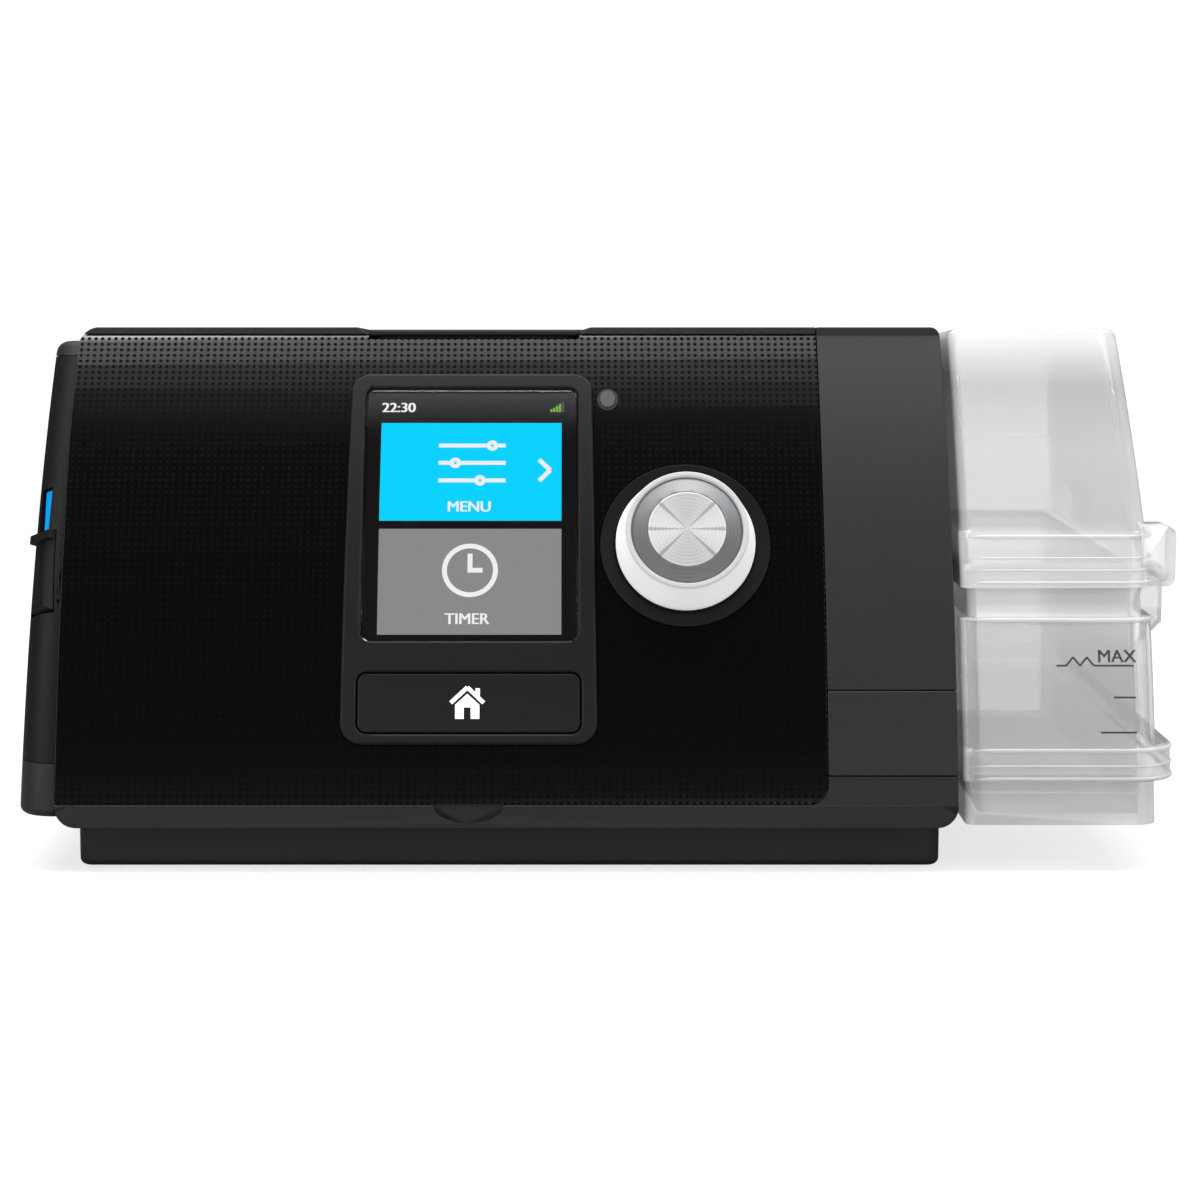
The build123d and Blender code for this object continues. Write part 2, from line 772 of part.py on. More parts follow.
def rear_case():
    """Rear wall with the outlet's pocket, the filter's pocket and the power inlet's hole."""
    half = seam / 2
    x0 = face_x0 + half
    body = shell & block(x0, big, rear_y - rear_roll, big, face_foot_z + half, rear_seam_z - half)
    body -= rod(outlet_axis, outlet_pocket, 0, big)
    cup = case_outer() & rod(outlet_axis, outlet_pocket + cup_wall, -cup_wall, 2 * outlet_length)
    cup -= rod(outlet_axis, outlet_pocket, 0, big)
    body += cup - rod(outlet_axis, duct_radius + seam, -big / 4, big / 4)
    fx0, fx1, fz0, fz1 = filter_box
    pocket = block(fx0 - cup_wall, fx1 + cup_wall, filter_floor_y - cup_wall, rear_y - wall / 2,
                   fz0 - cup_wall, min(fz1 + cup_wall, rear_seam_z - half))
    pocket -= block(fx0, fx1, filter_floor_y, rear_y, fz0, fz1)
    body += pocket
    body -= flap_hole(*filter_box)
    for z in spread(filter_z, grille_count, grille_pitch):
        body -= block(fx0 + grille_inset, fx1 - grille_inset, 0, rear_y - wall, z - grille_slot / 2,
                      z + grille_slot / 2)
    body += block(clip_box[0] - cup_wall, clip_box[1] + cup_wall, rear_y - 2 * wall, rear_y - wall / 2,
                  clip_box[2] - cup_wall, clip_box[3] + cup_wall)
    body -= flap_hole(*clip_box)
    body -= block(inlet_x - inlet_width / 2 - seam, inlet_x + inlet_width / 2 + seam, rear_y - wall - 1,
                  rear_y + 1, inlet_z - inlet_height / 2 - seam, inlet_z + inlet_height / 2 + seam)
    return body


def start_cut(grow, low, high, front):
    """Block on the deck round the start button."""
    x0, x1 = -start_width / 2 - grow, start_width / 2 + grow
    return deck_plane(start_x) * block(x0, x1, front, start_depth + grow, low, high)


def start_notch():
    """Notch in the deck's lip, flared at both ends, open to the front."""
    half = start_width / 2 + gap
    shape = Polygon((-half, -lip_height), (half, -lip_height), (half + notch_flare, seam),
                    (-half - notch_flare, seam), align=None)
    front = Plane(origin=deck_plane(start_x).origin, x_dir=(1, 0, 0), z_dir=(0, -1, 0))
    return front * Pos(0, 0, -start_depth - gap) * extrude(shape, start_depth + gap + 2 * wall)


def start_posts():
    """Places along X of the posts that carry the start button's switch."""
    reach = start_width / 2 + start_post_out
    return (start_x - reach, start_x + reach)


def top_deck():
    """Deck and its roll down to the rear wall, notched for the start button."""
    half = seam / 2
    region = block(face_x0 + half, face_x1 - half, lip_y - 1, big, face_top_z + half, height + 1)
    region += block(face_x0 + half, face_x1 - half, lip_y + wall + 2 * lip_lap, big, rear_seam_z + half,
                    height + 1)
    body = shell & region
    body -= start_notch()
    body -= start_cut(gap, -3 * wall, 1, -wall)
    for x in start_posts():
        body += slab(deck_plane(x), Pos(0, start_depth / 2) * Circle(start_post_radius), -start_board_low,
                     -wall / 2)
    return body - outlet_clearance()


def front_fascia():
    """Gloss curved face with its openings and the bosses that carry the main board."""
    half = seam / 2
    body = shell & block(face_x0 + half, face_x1 - half, -big, lip_y + wall + lip_lap,
                         face_foot_z + half, face_top_z - half)
    body -= slab(corner_plane, corner_outline(0, 0), -2 * wall, 2 * wall)
    body -= slab(face_plane(screen_x, bezel_arc), bezel_outline(seam / 2), -4 * wall, 4 * wall)
    body -= rod(face_plane(dial_x, dial_arc), ring_radius + seam / 2, -3 * wall, 3 * wall)
    body -= slab(face_plane(sensor_x, sensor_arc), sensor_outline(seam / 2), -2 * wall, 2 * wall)
    notch = start_width / 2 + gap
    body -= deck_plane(start_x) * block(-notch, notch, -3 * wall, 3 * wall, -start_floor, wall)
    for x, y in board_corners:
        boss = slab(board_plane, Pos(x, y) * Circle(boss_radius), board_front + part_gap, wall)
        body += boss & lengthwise(inner_side(), face_x0, face_x1)
        body -= slab(board_plane, Pos(x, y) * Circle(board_screw_radius), board_front, -wall - boss_end)
    return body


def dock_cover():
    """Right column: front strip, deck and roll, down to the label panel."""
    half = seam / 2
    x0 = column_x0 + half
    region = block(x0, big, -big, bay_front_y - 2 * dock_wall, label_top_z + half, height + 1)
    region += block(x0, big, -big, lip_y, bay_top_z + 2 * dock_wall, rear_seam_z + bite)
    region += block(x0, big, -big, big, rear_seam_z + half, height + 1)
    return (shell & region) - outlet_clearance()


def outlet_clearance():
    """Room in the deck for the collar of the outlet's pocket."""
    return rod(outlet_axis, outlet_pocket + cup_wall + seam, -cup_wall - seam, 2 * outlet_length)


def dock_label_panel():
    """Plain panel low in the column."""
    half = seam / 2
    return shell & block(column_x0 + half, big, -big, bay_front_y - 2 * dock_wall, label_foot_z + half,
                         label_top_z - half)


def dock_frame():
    """Right wall of the machine and the bay that takes the tub's tongue."""
    half = seam / 2
    plate = lengthwise(offset(inner_side(), amount=-half, kind=Kind.INTERSECTION), dock_x - wall, dock_x)
    plate &= block(-big, big, -big, big, face_foot_z + half, height)
    bay = block(bay_x - dock_wall, dock_x - wall / 2, bay_front_y - dock_wall, bay_rear_y + dock_wall,
                bay_floor_z - dock_wall, bay_top_z + dock_wall)
    bay -= block(dock_x - wall - half, big, -big, big, 0, face_foot_z + half)
    plate += bay
    plate -= block(bay_x, dock_x + 1, bay_front_y, bay_rear_y, bay_floor_z, bay_top_z)
    plate -= heater_block(part_gap, -big, bay_floor_z + 1)
    for y in (port_in_y, port_out_y):
        plate -= port_rod(y, port_radius, bay_x - 2 * dock_wall, bay_x + 1)
    return plate


def port_rod(y, radius, x0, x1):
    """A round bar along X on a port's axis."""
    return rod(Plane(origin=(x0, y, port_z), z_dir=(1, 0, 0)), radius, 0, x1 - x0)


def heater_block(grow, z0, z1):
    """Block with the heater plate's outline."""
    half_x, half_y = plate_length / 2 + heater_rim + grow, plate_depth / 2 + heater_rim + grow
    return block(plate_x - half_x, plate_x + half_x, plate_y - half_y, plate_y + half_y, z0, z1)


def side_panel_left():
    """Left side with its rounded corners, the card slot and the adapter opening."""
    half = seam / 2
    body = shell & block(-big, face_x0 - half, -big, big, side_foot_z + half, height)
    body -= cap_region(-half)
    body -= adapter_block(0)
    body -= card_prism(flap_width / 2 + gap, flap_foot_arc - gap, flap_top_arc + gap)
    body -= card_prism(notch_width / 2, flap_top_arc, notch_top_arc)
    axis = flap_axis()
    reach = flap_width / 2 + gap + flap_pin_reach + part_gap
    return body - rod(axis, flap_pin + shaft_fit, -reach, reach)


def side_cap_left():
    """Lighter cap along the top of the left side."""
    return shell & cap_region(seam / 2)


def cap_region(rise):
    """Everything left of the face and above the cap's seam, which runs level with the deck."""
    at = (0, lip_y, side_cap_z + rise)
    seam_plane = Plane(origin=at, x_dir=(1, 0, 0), z_dir=(0, sin(slope), cos(slope)))
    return seam_plane * block(-big, face_x0 - seam / 2, -big, big, 0, 4 * wall)


def adapter_block(inset):
    """Block round the adapter cover."""
    half_y, half_z = adapter_width / 2 - inset, adapter_height / 2 - inset
    return block(x_left - 1, x_left + 2 * wall, adapter_y - half_y, adapter_y + half_y,
                 adapter_z - half_z, adapter_z + half_z)


def adapter_cover():
    """Cover over the accessory port, flush with the side."""
    return shell & adapter_block(gap)


# ---------------------------------------------------------------- card slot
def card_v(arc):
    """Height on the card's plane of an arc distance up the face."""
    return arc - card_arc


def card_prism(half_width, arc0, arc1):
    """Block through the side's front corner, along the card's way in."""
    return card_plane * block(-half_width, half_width, card_v(arc0), card_v(arc1), -3 * wall, 2 * wall)


def flap_axis():
    """Plane whose normal is the card flap's hinge line."""
    at = card_plane * Pos(0, card_v(flap_foot_arc) + flap_pivot_depth, -flap_pivot_depth)
    return Plane(origin=at.position, z_dir=card_plane.x_dir)


def sd_door():
    """Flap over the lower part of the card, with its grip bar, its barrel and its pins."""
    low, top = card_v(flap_foot_arc) + flap_pivot_depth, card_v(flap_top_arc)
    half = flap_width / 2
    leaf = shell & (card_plane * block(-half, half, low, top, -3 * wall, 2 * wall))
    leaf += card_plane * block(-half, half, top - grip_height, top, -grip_root, grip_proud)
    groove = card_thick / 2 + card_play
    leaf -= card_plane * block(-groove, groove, card_v(card_arc - card_width / 2) - card_play, top + 1,
                               -4 * wall, -card_sink + card_play)
    leaf -= card_plane * block(-groove_width / 2, groove_width / 2, low - 1, top - grip_height,
                               -groove_depth, wall)
    axis = flap_axis()
    barrel = rod(axis, flap_barrel, -half, half) & case_outer()
    return leaf + barrel + rod(axis, flap_pin, -half - flap_pin_reach, half + flap_pin_reach)


def sd_card():
    """Memory card, its edge showing in the notch above the flap."""
    half, thick = card_width / 2, card_thick / 2
    body = card_plane * block(-thick, thick, -half, half, -card_sink - card_length, -card_sink)
    across = body.edges().filter_by(Axis(body.center(), card_plane.x_dir))
    return chamfer(across.sort_by(Axis.X)[-1:], card_corner)


def sd_socket():
    """Socket that holds the card, fixed behind the side's front corner."""
    half, thick = card_width / 2, card_thick / 2
    inner_x, inner_y = thick + socket_play, half + socket_play
    outer_x, outer_y = inner_x + socket_wall, inner_y + socket_wall
    end = -card_sink - card_length - card_press - socket_end_play
    slot = card_plane * block(-inner_x, inner_x, -inner_y, inner_y, end, 0)
    body = card_plane * block(-outer_x, outer_x, -outer_y, outer_y, end - socket_wall,
                              -flap_pivot_depth - flap_barrel - gap)
    return body - slot


# ---------------------------------------------------------------- screen and controls on the face
def screen_bezel():
    """Frame round the glass and the home button, standing slightly proud of the face."""
    x0, x1 = screen_x - bezel_foot_width, screen_x + bezel_foot_width
    body = face_slab(x0, x1, 0, face_arc, bezel_proud, bezel_depth)
    body &= slab(face_plane(screen_x, bezel_arc), bezel_outline(0), -8 * wall, 8 * wall)
    body -= glass_shape(seam / 2, bezel_proud + 1, bezel_depth + 1)
    return body - home_shape(gap, bezel_proud + 1, bezel_depth + 1)


def face_window(x, width, arc0, arc1, radius, grow, out, back):
    """Rounded window that follows the face."""
    slab_part = face_slab(x - width, x + width, arc0 - grow, arc1 + grow, out, back)
    outline = RectangleRounded(width + 2 * grow, arc1 - arc0 + 2 * grow, radius + grow)
    return slab_part & slab(face_plane(x, (arc0 + arc1) / 2), outline, -8 * wall, 8 * wall)


def glass_shape(grow, out, back):
    return face_window(screen_x, glass_width, glass_foot_arc, glass_top_arc, glass_round, grow, out, back)


def home_shape(grow, out, back):
    return face_window(screen_x, home_width, home_foot_arc, home_top_arc, home_round, grow, out, back)


def screen_glass():
    """Clear cover glass."""
    front = bezel_proud - glass_sink
    return glass_shape(-seam / 2, front, glass_thick - front)


def lcd_module():
    """Display behind the glass, standing on the main board."""
    front = glass_thick - bezel_proud + glass_sink + part_gap
    body = face_window(screen_x, screen_width, glass_foot_arc + screen_margin, glass_top_arc - screen_margin,
                       screen_round, 0, -front, front + screen_thick)
    outline = Pos(screen_x, glass_arc - dial_arc) * Rectangle(
        screen_width - 2 * screen_foot_inset, glass_top_arc - glass_foot_arc - 2 * screen_foot_short)
    foot = slab(board_plane, outline, board_front + part_gap, 0)
    return body + (foot & face_slab(screen_x - screen_width, screen_x + screen_width, 0, face_arc,
                                    -front - screen_thick + screen_foot_bite, 3 * board_set))


def home_button():
    """Wide key under the screen, held by two lips behind the bezel, with a stem to its switch."""
    body = home_shape(0, home_proud, home_thick)
    at = face_plane(screen_x, home_arc)
    lip_top = -bezel_depth - home_lip_gap
    reach, stem = home_width / 2 + home_lip_out, home_width / 2 - home_stem_in
    body += at * block(-reach, reach, -home_lip_half, home_lip_half, lip_top - home_lip_thick, lip_top)
    return body + at * block(-stem, stem, -home_lip_half, home_lip_half, lip_top - home_lip_thick / 2,
                             bite - home_thick)


def light_sensor():
    """Small lens of the ambient light sensor."""
    return slab(face_plane(sensor_x, sensor_arc), sensor_outline(0), -sensor_thick, sensor_proud)


dial_plane = face_plane(dial_x, dial_arc)
floor_low = -ring_thick + ring_proud


def dial_ring():
    """Dark recess round the dial, with a floor."""
    hole = shaft_radius + ring_hole
    return dial_plane * turned(
        (hole, floor_low), (ring_radius, floor_low), (ring_radius, ring_proud),
        (skirt_radius + gap, ring_proud - ring_bevel), (skirt_radius + gap, floor_low + ring_floor),
        (hole, floor_low + ring_floor))


def dial_skirt():
    """White conical grip of the dial, with a shallow seat for the cap inside its rim."""
    bore, under = shaft_radius + shaft_fit, cap_seat - skirt_wall
    return dial_plane * turned(
        (bore, under), (skirt_top_radius - skirt_wall, under), (skirt_radius - skirt_wall, skirt_foot),
        (skirt_radius, skirt_foot), (skirt_radius, skirt_foot + skirt_hem), (skirt_top_radius, skirt_top),
        (cap_radius + part_gap, skirt_top), (cap_radius + part_gap, cap_seat), (bore, cap_seat))


def dial_cap():
    """Metal ring in the skirt, falling away to its rim, with a seat for the disc."""
    bore, low, seat = shaft_radius + shaft_fit, cap_seat + part_gap / 2, cap_top - disc_thick - part_gap
    inner = cap_face_radius + part_gap
    return dial_plane * turned((bore, low), (cap_radius, low), (cap_radius, cap_top - cap_fall),
                               (inner, cap_top), (inner, seat), (bore, seat))


def dial_disc():
    """Spun metal disc in the cap."""
    return rod(dial_plane, cap_face_radius, cap_top - disc_thick, cap_top)


plunger_low = board_front + shaft_rise
plunger_top = -plunger_depth


def dial_shaft():
    """Shaft from the cap down into the encoder."""
    return rod(dial_plane, shaft_radius, plunger_low, cap_top - disc_thick - 2 * part_gap)


def dial_plunger():
    """Collar in the encoder that the dial turns in and presses down."""
    low = plunger_low + collar_rise
    tube = rod(dial_plane, plunger_radius, low, plunger_top)
    return tube - rod(dial_plane, shaft_radius + shaft_fit, low - 1, plunger_top + 1)


def encoder_body():
    """Encoder on the main board."""
    body = slab(dial_plane, Rectangle(encoder_size, encoder_size), board_front + part_gap,
                plunger_top - encoder_low)
    return body - rod(dial_plane, plunger_radius + gap, board_front + part_gap + encoder_floor, 0)


# ---------------------------------------------------------------- start button
def start_button():
    """Key in the deck's lip: cap, stem through the deck, lips that stop it below the deck."""
    half, low = start_width / 2, start_sink + start_thick
    stem_rear = start_depth - start_stem_rear
    lip_top = -wall - start_lip_gap
    at = deck_plane(start_x)
    cap = at * block(-half, half, 0, start_depth, -low, -start_sink)
    cap = fillet(cap.edges().filter_by(Axis.X).sort_by(Axis.Z)[-2:], start_round)
    cap += at * block(-half + start_stem_in, half - start_stem_in, start_stem_front, stem_rear,
                      lip_top - start_lip_thick / 2, -low + part_gap)
    return cap + at * block(-half - start_lip_out, half + start_lip_out, start_stem_front + start_lip_in,
                            stem_rear - start_lip_in, lip_top - start_lip_thick, lip_top)


def start_switch():
    """Small board below the deck with the start button's switch."""
    at = deck_plane(start_x)
    half, middle = start_width / 2 + start_post_out + start_board_over, start_depth / 2
    top = -start_board_low - part_gap
    board = at * block(-half, half, middle - start_board_half, middle + start_board_half,
                       top - start_board_thick, top)
    pressed = -wall - start_lip_gap - start_lip_thick - start_travel
    key = start_key_half
    return board + at * block(-key, key, middle - key, middle + key, top - start_board_thick / 2,
                              pressed - gap)


# ---------------------------------------------------------------- boards
def main_board():
    """Main circuit board behind the face."""
    outline = Pos((board_left_x + board_x1) / 2, (board_up - board_down) / 2) * Rectangle(
        board_x1 - board_left_x, board_up + board_down)
    for x, y in board_corners:
        outline -= Pos(x, y) * Circle(board_screw_radius + part_gap)
    return slab(board_plane, outline, board_back, board_front)


def board_chip(x, y, width, tall, high):
    """One component on the rear of the main board, x from its left end, y up from the dial's axis."""
    spot = Pos(board_left_x + x, y) * Rectangle(width, tall)
    return slab(board_plane, spot, board_back - high, board_back - part_gap)


def board_parts():
    """Shielded radio, processor, sensor and connectors on the rear, and the home switch on the front."""
    chips = [board_chip(shield_x, shield_y, shield_width, shield_tall, shield_high),
             board_chip(processor_x, processor_y, processor_size, processor_size, processor_high),
             board_chip(sense_x, sense_y, sense_size, sense_size, sense_high)]
    for k in range(connector_count):
        chips.append(board_chip(connector_first + k * connector_spacing, -connector_drop, connector_width,
                                connector_tall, connector_high))
    spot = Pos(screen_x, home_arc - dial_arc) * Rectangle(home_switch_size, home_switch_size)
    key = slab(board_plane, spot, board_front + part_gap, board_front + home_switch_height)
    return Compound(children=[*chips, key])


def board_screws():
    """Screws that hold the main board to the face's bosses."""
    screws = []
    for x, y in board_corners:
        at = Pos(x, y)
        head = slab(board_plane, at * Circle(board_head_radius), board_back - board_head_height,
                    board_back - shaft_fit)
        shank = at * Circle(board_screw_radius - shaft_fit)
        screws.append(head + slab(board_plane, shank, board_back - board_head_height / 2,
                                  board_back + board_screw_length))
    return Compound(children=screws)


def power_posts():
    """Corners of the power board."""
    x0, x1, y0, y1 = power_box
    inset = power_post_inset
    return [(x, y) for x in (x0 + inset, x1 - inset) for y in (y0 + inset, y1 - inset)]


def power_board():
    """Power supply board on posts of the lower case, with its coil and capacitors."""
    x0, x1, y0, y1 = power_box
    middle, top = (x0 + x1) / 2, power_z + board_thick
    board = block(x0, x1, y0, y1, power_z + part_gap, top)
    coil_y = y0 + coil_inset
    board += block(middle - coil_size / 2, middle + coil_size / 2, coil_y, coil_y + coil_size,
                   power_z + board_thick / 2, top + coil_high)
    for k in (-1, 1):
        can = Plane((middle + k * capacitor_spacing / 2, y0 + capacitor_from_front, 0))
        board += rod(can, capacitor_radius, power_z + board_thick / 2, top + capacitor_high)
    return board


def power_inlet():
    """Low-voltage socket in the rear wall: a shell round three pins."""
    x0, x1 = inlet_x - inlet_width / 2, inlet_x + inlet_width / 2
    z0, z1 = inlet_z - inlet_height / 2, inlet_z + inlet_height / 2
    shell_part = block(x0, x1, rear_y - inlet_depth, rear_y, z0, z1)
    socket = shell_part - block(x0 + inlet_wall, x1 - inlet_wall, rear_y - inlet_depth + inlet_floor,
                                rear_y + 1, z0 + inlet_wall, z1 - inlet_wall)
    for x in spread(inlet_x, inlet_pin_count, inlet_pin_pitch):
        pin = Plane(origin=(x, rear_y - inlet_depth, inlet_z), z_dir=(0, 1, 0))
        socket += rod(pin, inlet_pin_radius, inlet_floor - bite, inlet_depth - inlet_pin_sink)
    return socket


def retention_clip():
    """Small clip that swings out over the plug's cable."""
    return flap(*clip_box)


def filter_cover():
    """Slotted cover over the air filter."""
    x0, x1, z0, z1 = filter_box
    cover = flap(*filter_box)
    for z in spread(filter_z, cover_slot_count, cover_slot_pitch):
        cover -= block(x0 + cover_slot_inset, x1 - cover_slot_inset, rear_y - 2 * wall, rear_y + 1,
                       z - cover_slot / 2, z + cover_slot / 2)
    return cover


def filter_pad():
    """Pleated pad, shown as its outer block."""
    x0, x1, z0, z1 = filter_box
    return block(x0 + gap, x1 - gap, filter_floor_y + part_gap, filter_floor_y + filter_pad_thick,
                 z0 + gap, z1 - gap)


# ---------------------------------------------------------------- blower and air path
blower = Plane((blower_x, blower_y, 0))
inner_radius = blower_radius - blower_wall
volute_y = blower_y + inner_radius - volute_width / 2
volute_x = blower_x + blower_radius
port_in_y = volute_y
port_out_y = port_in_y - port_spacing


def blower_housing_lower():
    """Cup of the blower with its outlet and four ears."""
    body = rod(blower, blower_radius, blower_foot_z, blower_split_z)
    body += outlet_block(0)
    for x, y in mount_places():
        body += rod(Plane((x, y, 0)), mount_radius + mount_ear, blower_foot_z, blower_foot_z + blower_wall)
    body -= rod(blower, inner_radius, blower_foot_z + blower_wall, big)
    body -= outlet_block(blower_wall)
    return body - block(-big, big, -big, big, blower_split_z, big)


def outlet_block(inset):
    """Outlet of the volute, square, along X."""
    half = volute_width / 2 + blower_wall - inset
    z0, z1 = blower_split_z - 2 * (blower_split_z - port_z), blower_split_z
    return block(blower_x, volute_x + volute_lip + inset, volute_y - half, volute_y + half,
                 z0 - blower_wall + inset, z1)


def mount_places():
    """Centres of the blower's four rubber mounts."""
    reach = (blower_radius + mount_radius - mount_ear) * cos(radians(45))
    return [(blower_x + i * reach, blower_y + j * reach) for i in (-1, 1) for j in (-1, 1)]


def blower_housing_upper():
    """Lid of the blower with the inlet eye."""
    low = blower_split_z + part_gap
    body = rod(blower, blower_radius, low, low + blower_wall)
    half = volute_width / 2 + blower_wall
    body += block(blower_x, volute_x + volute_lip, volute_y - half, volute_y + half, low, low + blower_wall)
    body += rod(blower, eye_radius + blower_wall, low, blower_neck_z)
    return body - rod(blower, eye_radius, 0, big)


def blower_mounts():
    """Rubber mounts between lower case and blower."""
    pads = [rod(Plane((x, y, 0)), mount_radius, floor_z + wall + part_gap, blower_foot_z - part_gap)
            for x, y in mount_places()]
    return Compound(children=pads)


def impeller():
    """Bladed wheel."""
    low = impeller_z
    body = rod(blower, impeller_radius, low, low + impeller_disc)
    body += rod(blower, hub_radius, low - bite, low + blade_height)
    wheel = rod(blower, impeller_radius, low, low + blade_height)
    blade = block(blade_start, impeller_radius - blade_short, -blade_thick / 2, blade_thick / 2, 0,
                  blade_height)
    blade = Pos(0, blade_offset, low + impeller_disc / 2) * Rot(0, 0, -blade_sweep) * blade
    for k in range(blade_count):
        body += blower * Rot(0, 0, 360 * k / blade_count) * blade & wheel
    return body - rod(blower, motor_shaft_radius + press_fit, 0, big)


def motor_shaft():
    """Shaft carried by two bearings, the impeller on its end."""
    return rod(blower, motor_shaft_radius, stator_z + gap, impeller_z + blade_height - gap)


stator_z = blower_foot_z + blower_wall


def motor_stator():
    """Motor's stator and winding, with a bore for the bearings."""
    body = rod(blower, stator_radius, stator_z, stator_z + stator_height)
    body -= rod(blower, bearing_radius + press_fit, 0, big)
    slot = block(slot_start, stator_radius + 1, -slot_width / 2, slot_width / 2, stator_z + stator_floor,
                 stator_z + stator_height + 1)
    for k in range(pole_count):
        body -= blower * Rot(0, 0, 360 * k / pole_count) * slot
    return body


def motor_bearings():
    """Two bearings in the stator."""
    rings = []
    for z in (stator_z + part_gap, stator_z + stator_height - bearing_height):
        ring = rod(blower, bearing_radius, z, z + bearing_height)
        rings.append(ring - rod(blower, motor_shaft_radius + shaft_fit, 0, big))
    return Compound(children=rings)


def blower_duct():
    """Soft boot from the blower to the dock's inlet port."""
    x0, x1 = volute_x + volute_lip + part_gap, bay_x - dock_wall
    body = port_rod(port_in_y, port_radius + port_lip, x0, x1)
    return body - port_rod(port_in_y, port_radius, x0 - 1, x1 + 1)


def port_seals():
    """Two soft rings that seal the tub's ports."""
    rings = []
    for y in (port_in_y, port_out_y):
        ring = port_rod(y, port_radius + seal_ring, bay_x, bay_x + seal_thick)
        rings.append(ring - port_rod(y, port_radius, bay_x - 1, bay_x + 2 * seal_thick))
    return Compound(children=rings)


def outlet_run(radius, stretch):
    """Duct from the dock's outlet port up, across and back to the outlet, round in section."""
    x0, x1, y1 = bay_x - dock_wall, outlet_x, outlet_floor_y - cup_wall
    run = port_rod(port_out_y, radius, duct_turn_x, x0 + stretch)
    run += Pos(duct_turn_x, port_out_y, port_z) * Sphere(radius)
    run += rod(Plane((duct_turn_x, port_out_y, 0)), radius, port_z, outlet_z)
    run += Pos(duct_turn_x, port_out_y, outlet_z) * Sphere(radius)
    across = Plane(origin=(duct_turn_x, port_out_y, outlet_z), z_dir=(1, 0, 0))
    run += rod(across, radius, 0, x1 - duct_turn_x)
    run += Pos(x1, port_out_y, outlet_z) * Sphere(radius)
    back = Plane(origin=(x1, port_out_y, outlet_z), z_dir=(0, 1, 0))
    return run + rod(back, radius, 0, y1 - port_out_y + stretch)


def outlet_duct():
    """Hollow duct from the tub to the air outlet."""
    return outlet_run(duct_radius, 0) - outlet_run(duct_bore, 2 * cup_wall)


def air_outlet():
    """Cone that the air tube pushes on to, with its flange on the pocket's floor."""
    body = rod(outlet_axis, outlet_radius, -cup_wall + part_gap, outlet_length)
    body = fillet(body.edges().sort_by(Axis.Y)[-1:], outlet_round)
    body &= rod(outlet_axis, outlet_radius, 0, outlet_length)
    body += rod(outlet_axis, duct_radius, -cup_wall + part_gap, bite)
    body += rod(outlet_axis, outlet_radius + outlet_flange, part_gap, part_gap + outlet_flange_thick)
    return body - rod(outlet_axis, outlet_bore, -big / 4, big / 4)


def tube_contacts():
    """Three contacts beside the outlet for a heated tube."""
    half, top = contact_width / 2, outlet_z - outlet_radius - contact_below
    return Compound(children=[
        block(x - half, x + half, outlet_floor_y, outlet_floor_y + contact_reach, top - contact_thick, top)
        for x in spread(outlet_x, contact_count, contact_pitch)])


def inlet_muffler():
    """Quietening box between the filter and the blower's eye."""
    x0, x1, y0, y1, z0, z1 = muffler_box
    t = muffler_wall
    body = block(*muffler_box) - block(x0 + t, x1 - t, y0 + t, y1 - t, z0 + t, z1 - t)
    body -= rod(blower, eye_radius, z0 - 1, z0 + 2 * t)
    window = block(x0 + muffler_window, filter_box[1] - muffler_window, y1 - 2 * t, y1 + 1,
                   z0 + muffler_window, filter_box[3] - muffler_window)
    return body - window


def muffler_foam():
    """Foam lining in the muffler."""
    x0, x1, y0, _, z0, z1 = muffler_box
    t = muffler_wall + part_gap
    return block(x0 + t, x1 - t, y0 + t, y0 + t + foam_thick, z0 + t, z1 - t)


# ---------------------------------------------------------------- heater and tub
def heater_plate():
    """Plate under the tub, in the bay's floor."""
    return heater_block(0, heater_top_z - heater_thick, heater_top_z)


def heater_insulator():
    """Pad under the heater plate."""
    return heater_block(-insulator_in, floor_z + wall + part_gap, heater_top_z - heater_thick - part_gap)


def tub_outline(x0, x1, step, z0, z1):
    """Block behind the line of the face, as the tub's outer half is."""
    view = side_view(step, z0, lid_drop + step - tub_step, rear_y - tub_rear_y)
    return lengthwise(view, x0, x1) & block(-big, big, -big, big, z0, z1)


def soft(solid, left, right):
    """Rounds the upright edges of a tub block at its left and at its right."""
    box = solid.bounding_box()
    middle, span = (box.min.X + box.max.X) / 2, box.max.Z - box.min.Z
    upright = [e for e in solid.edges() if e.bounding_box().size.Z > span / 2]
    solid = fillet([e for e in upright if e.center().X < middle], left)
    upright = [e for e in solid.edges() if e.bounding_box().size.Z > span / 2]
    box = max(e.center().X for e in upright)
    return fillet([e for e in upright if e.center().X > box - 0.5], right)


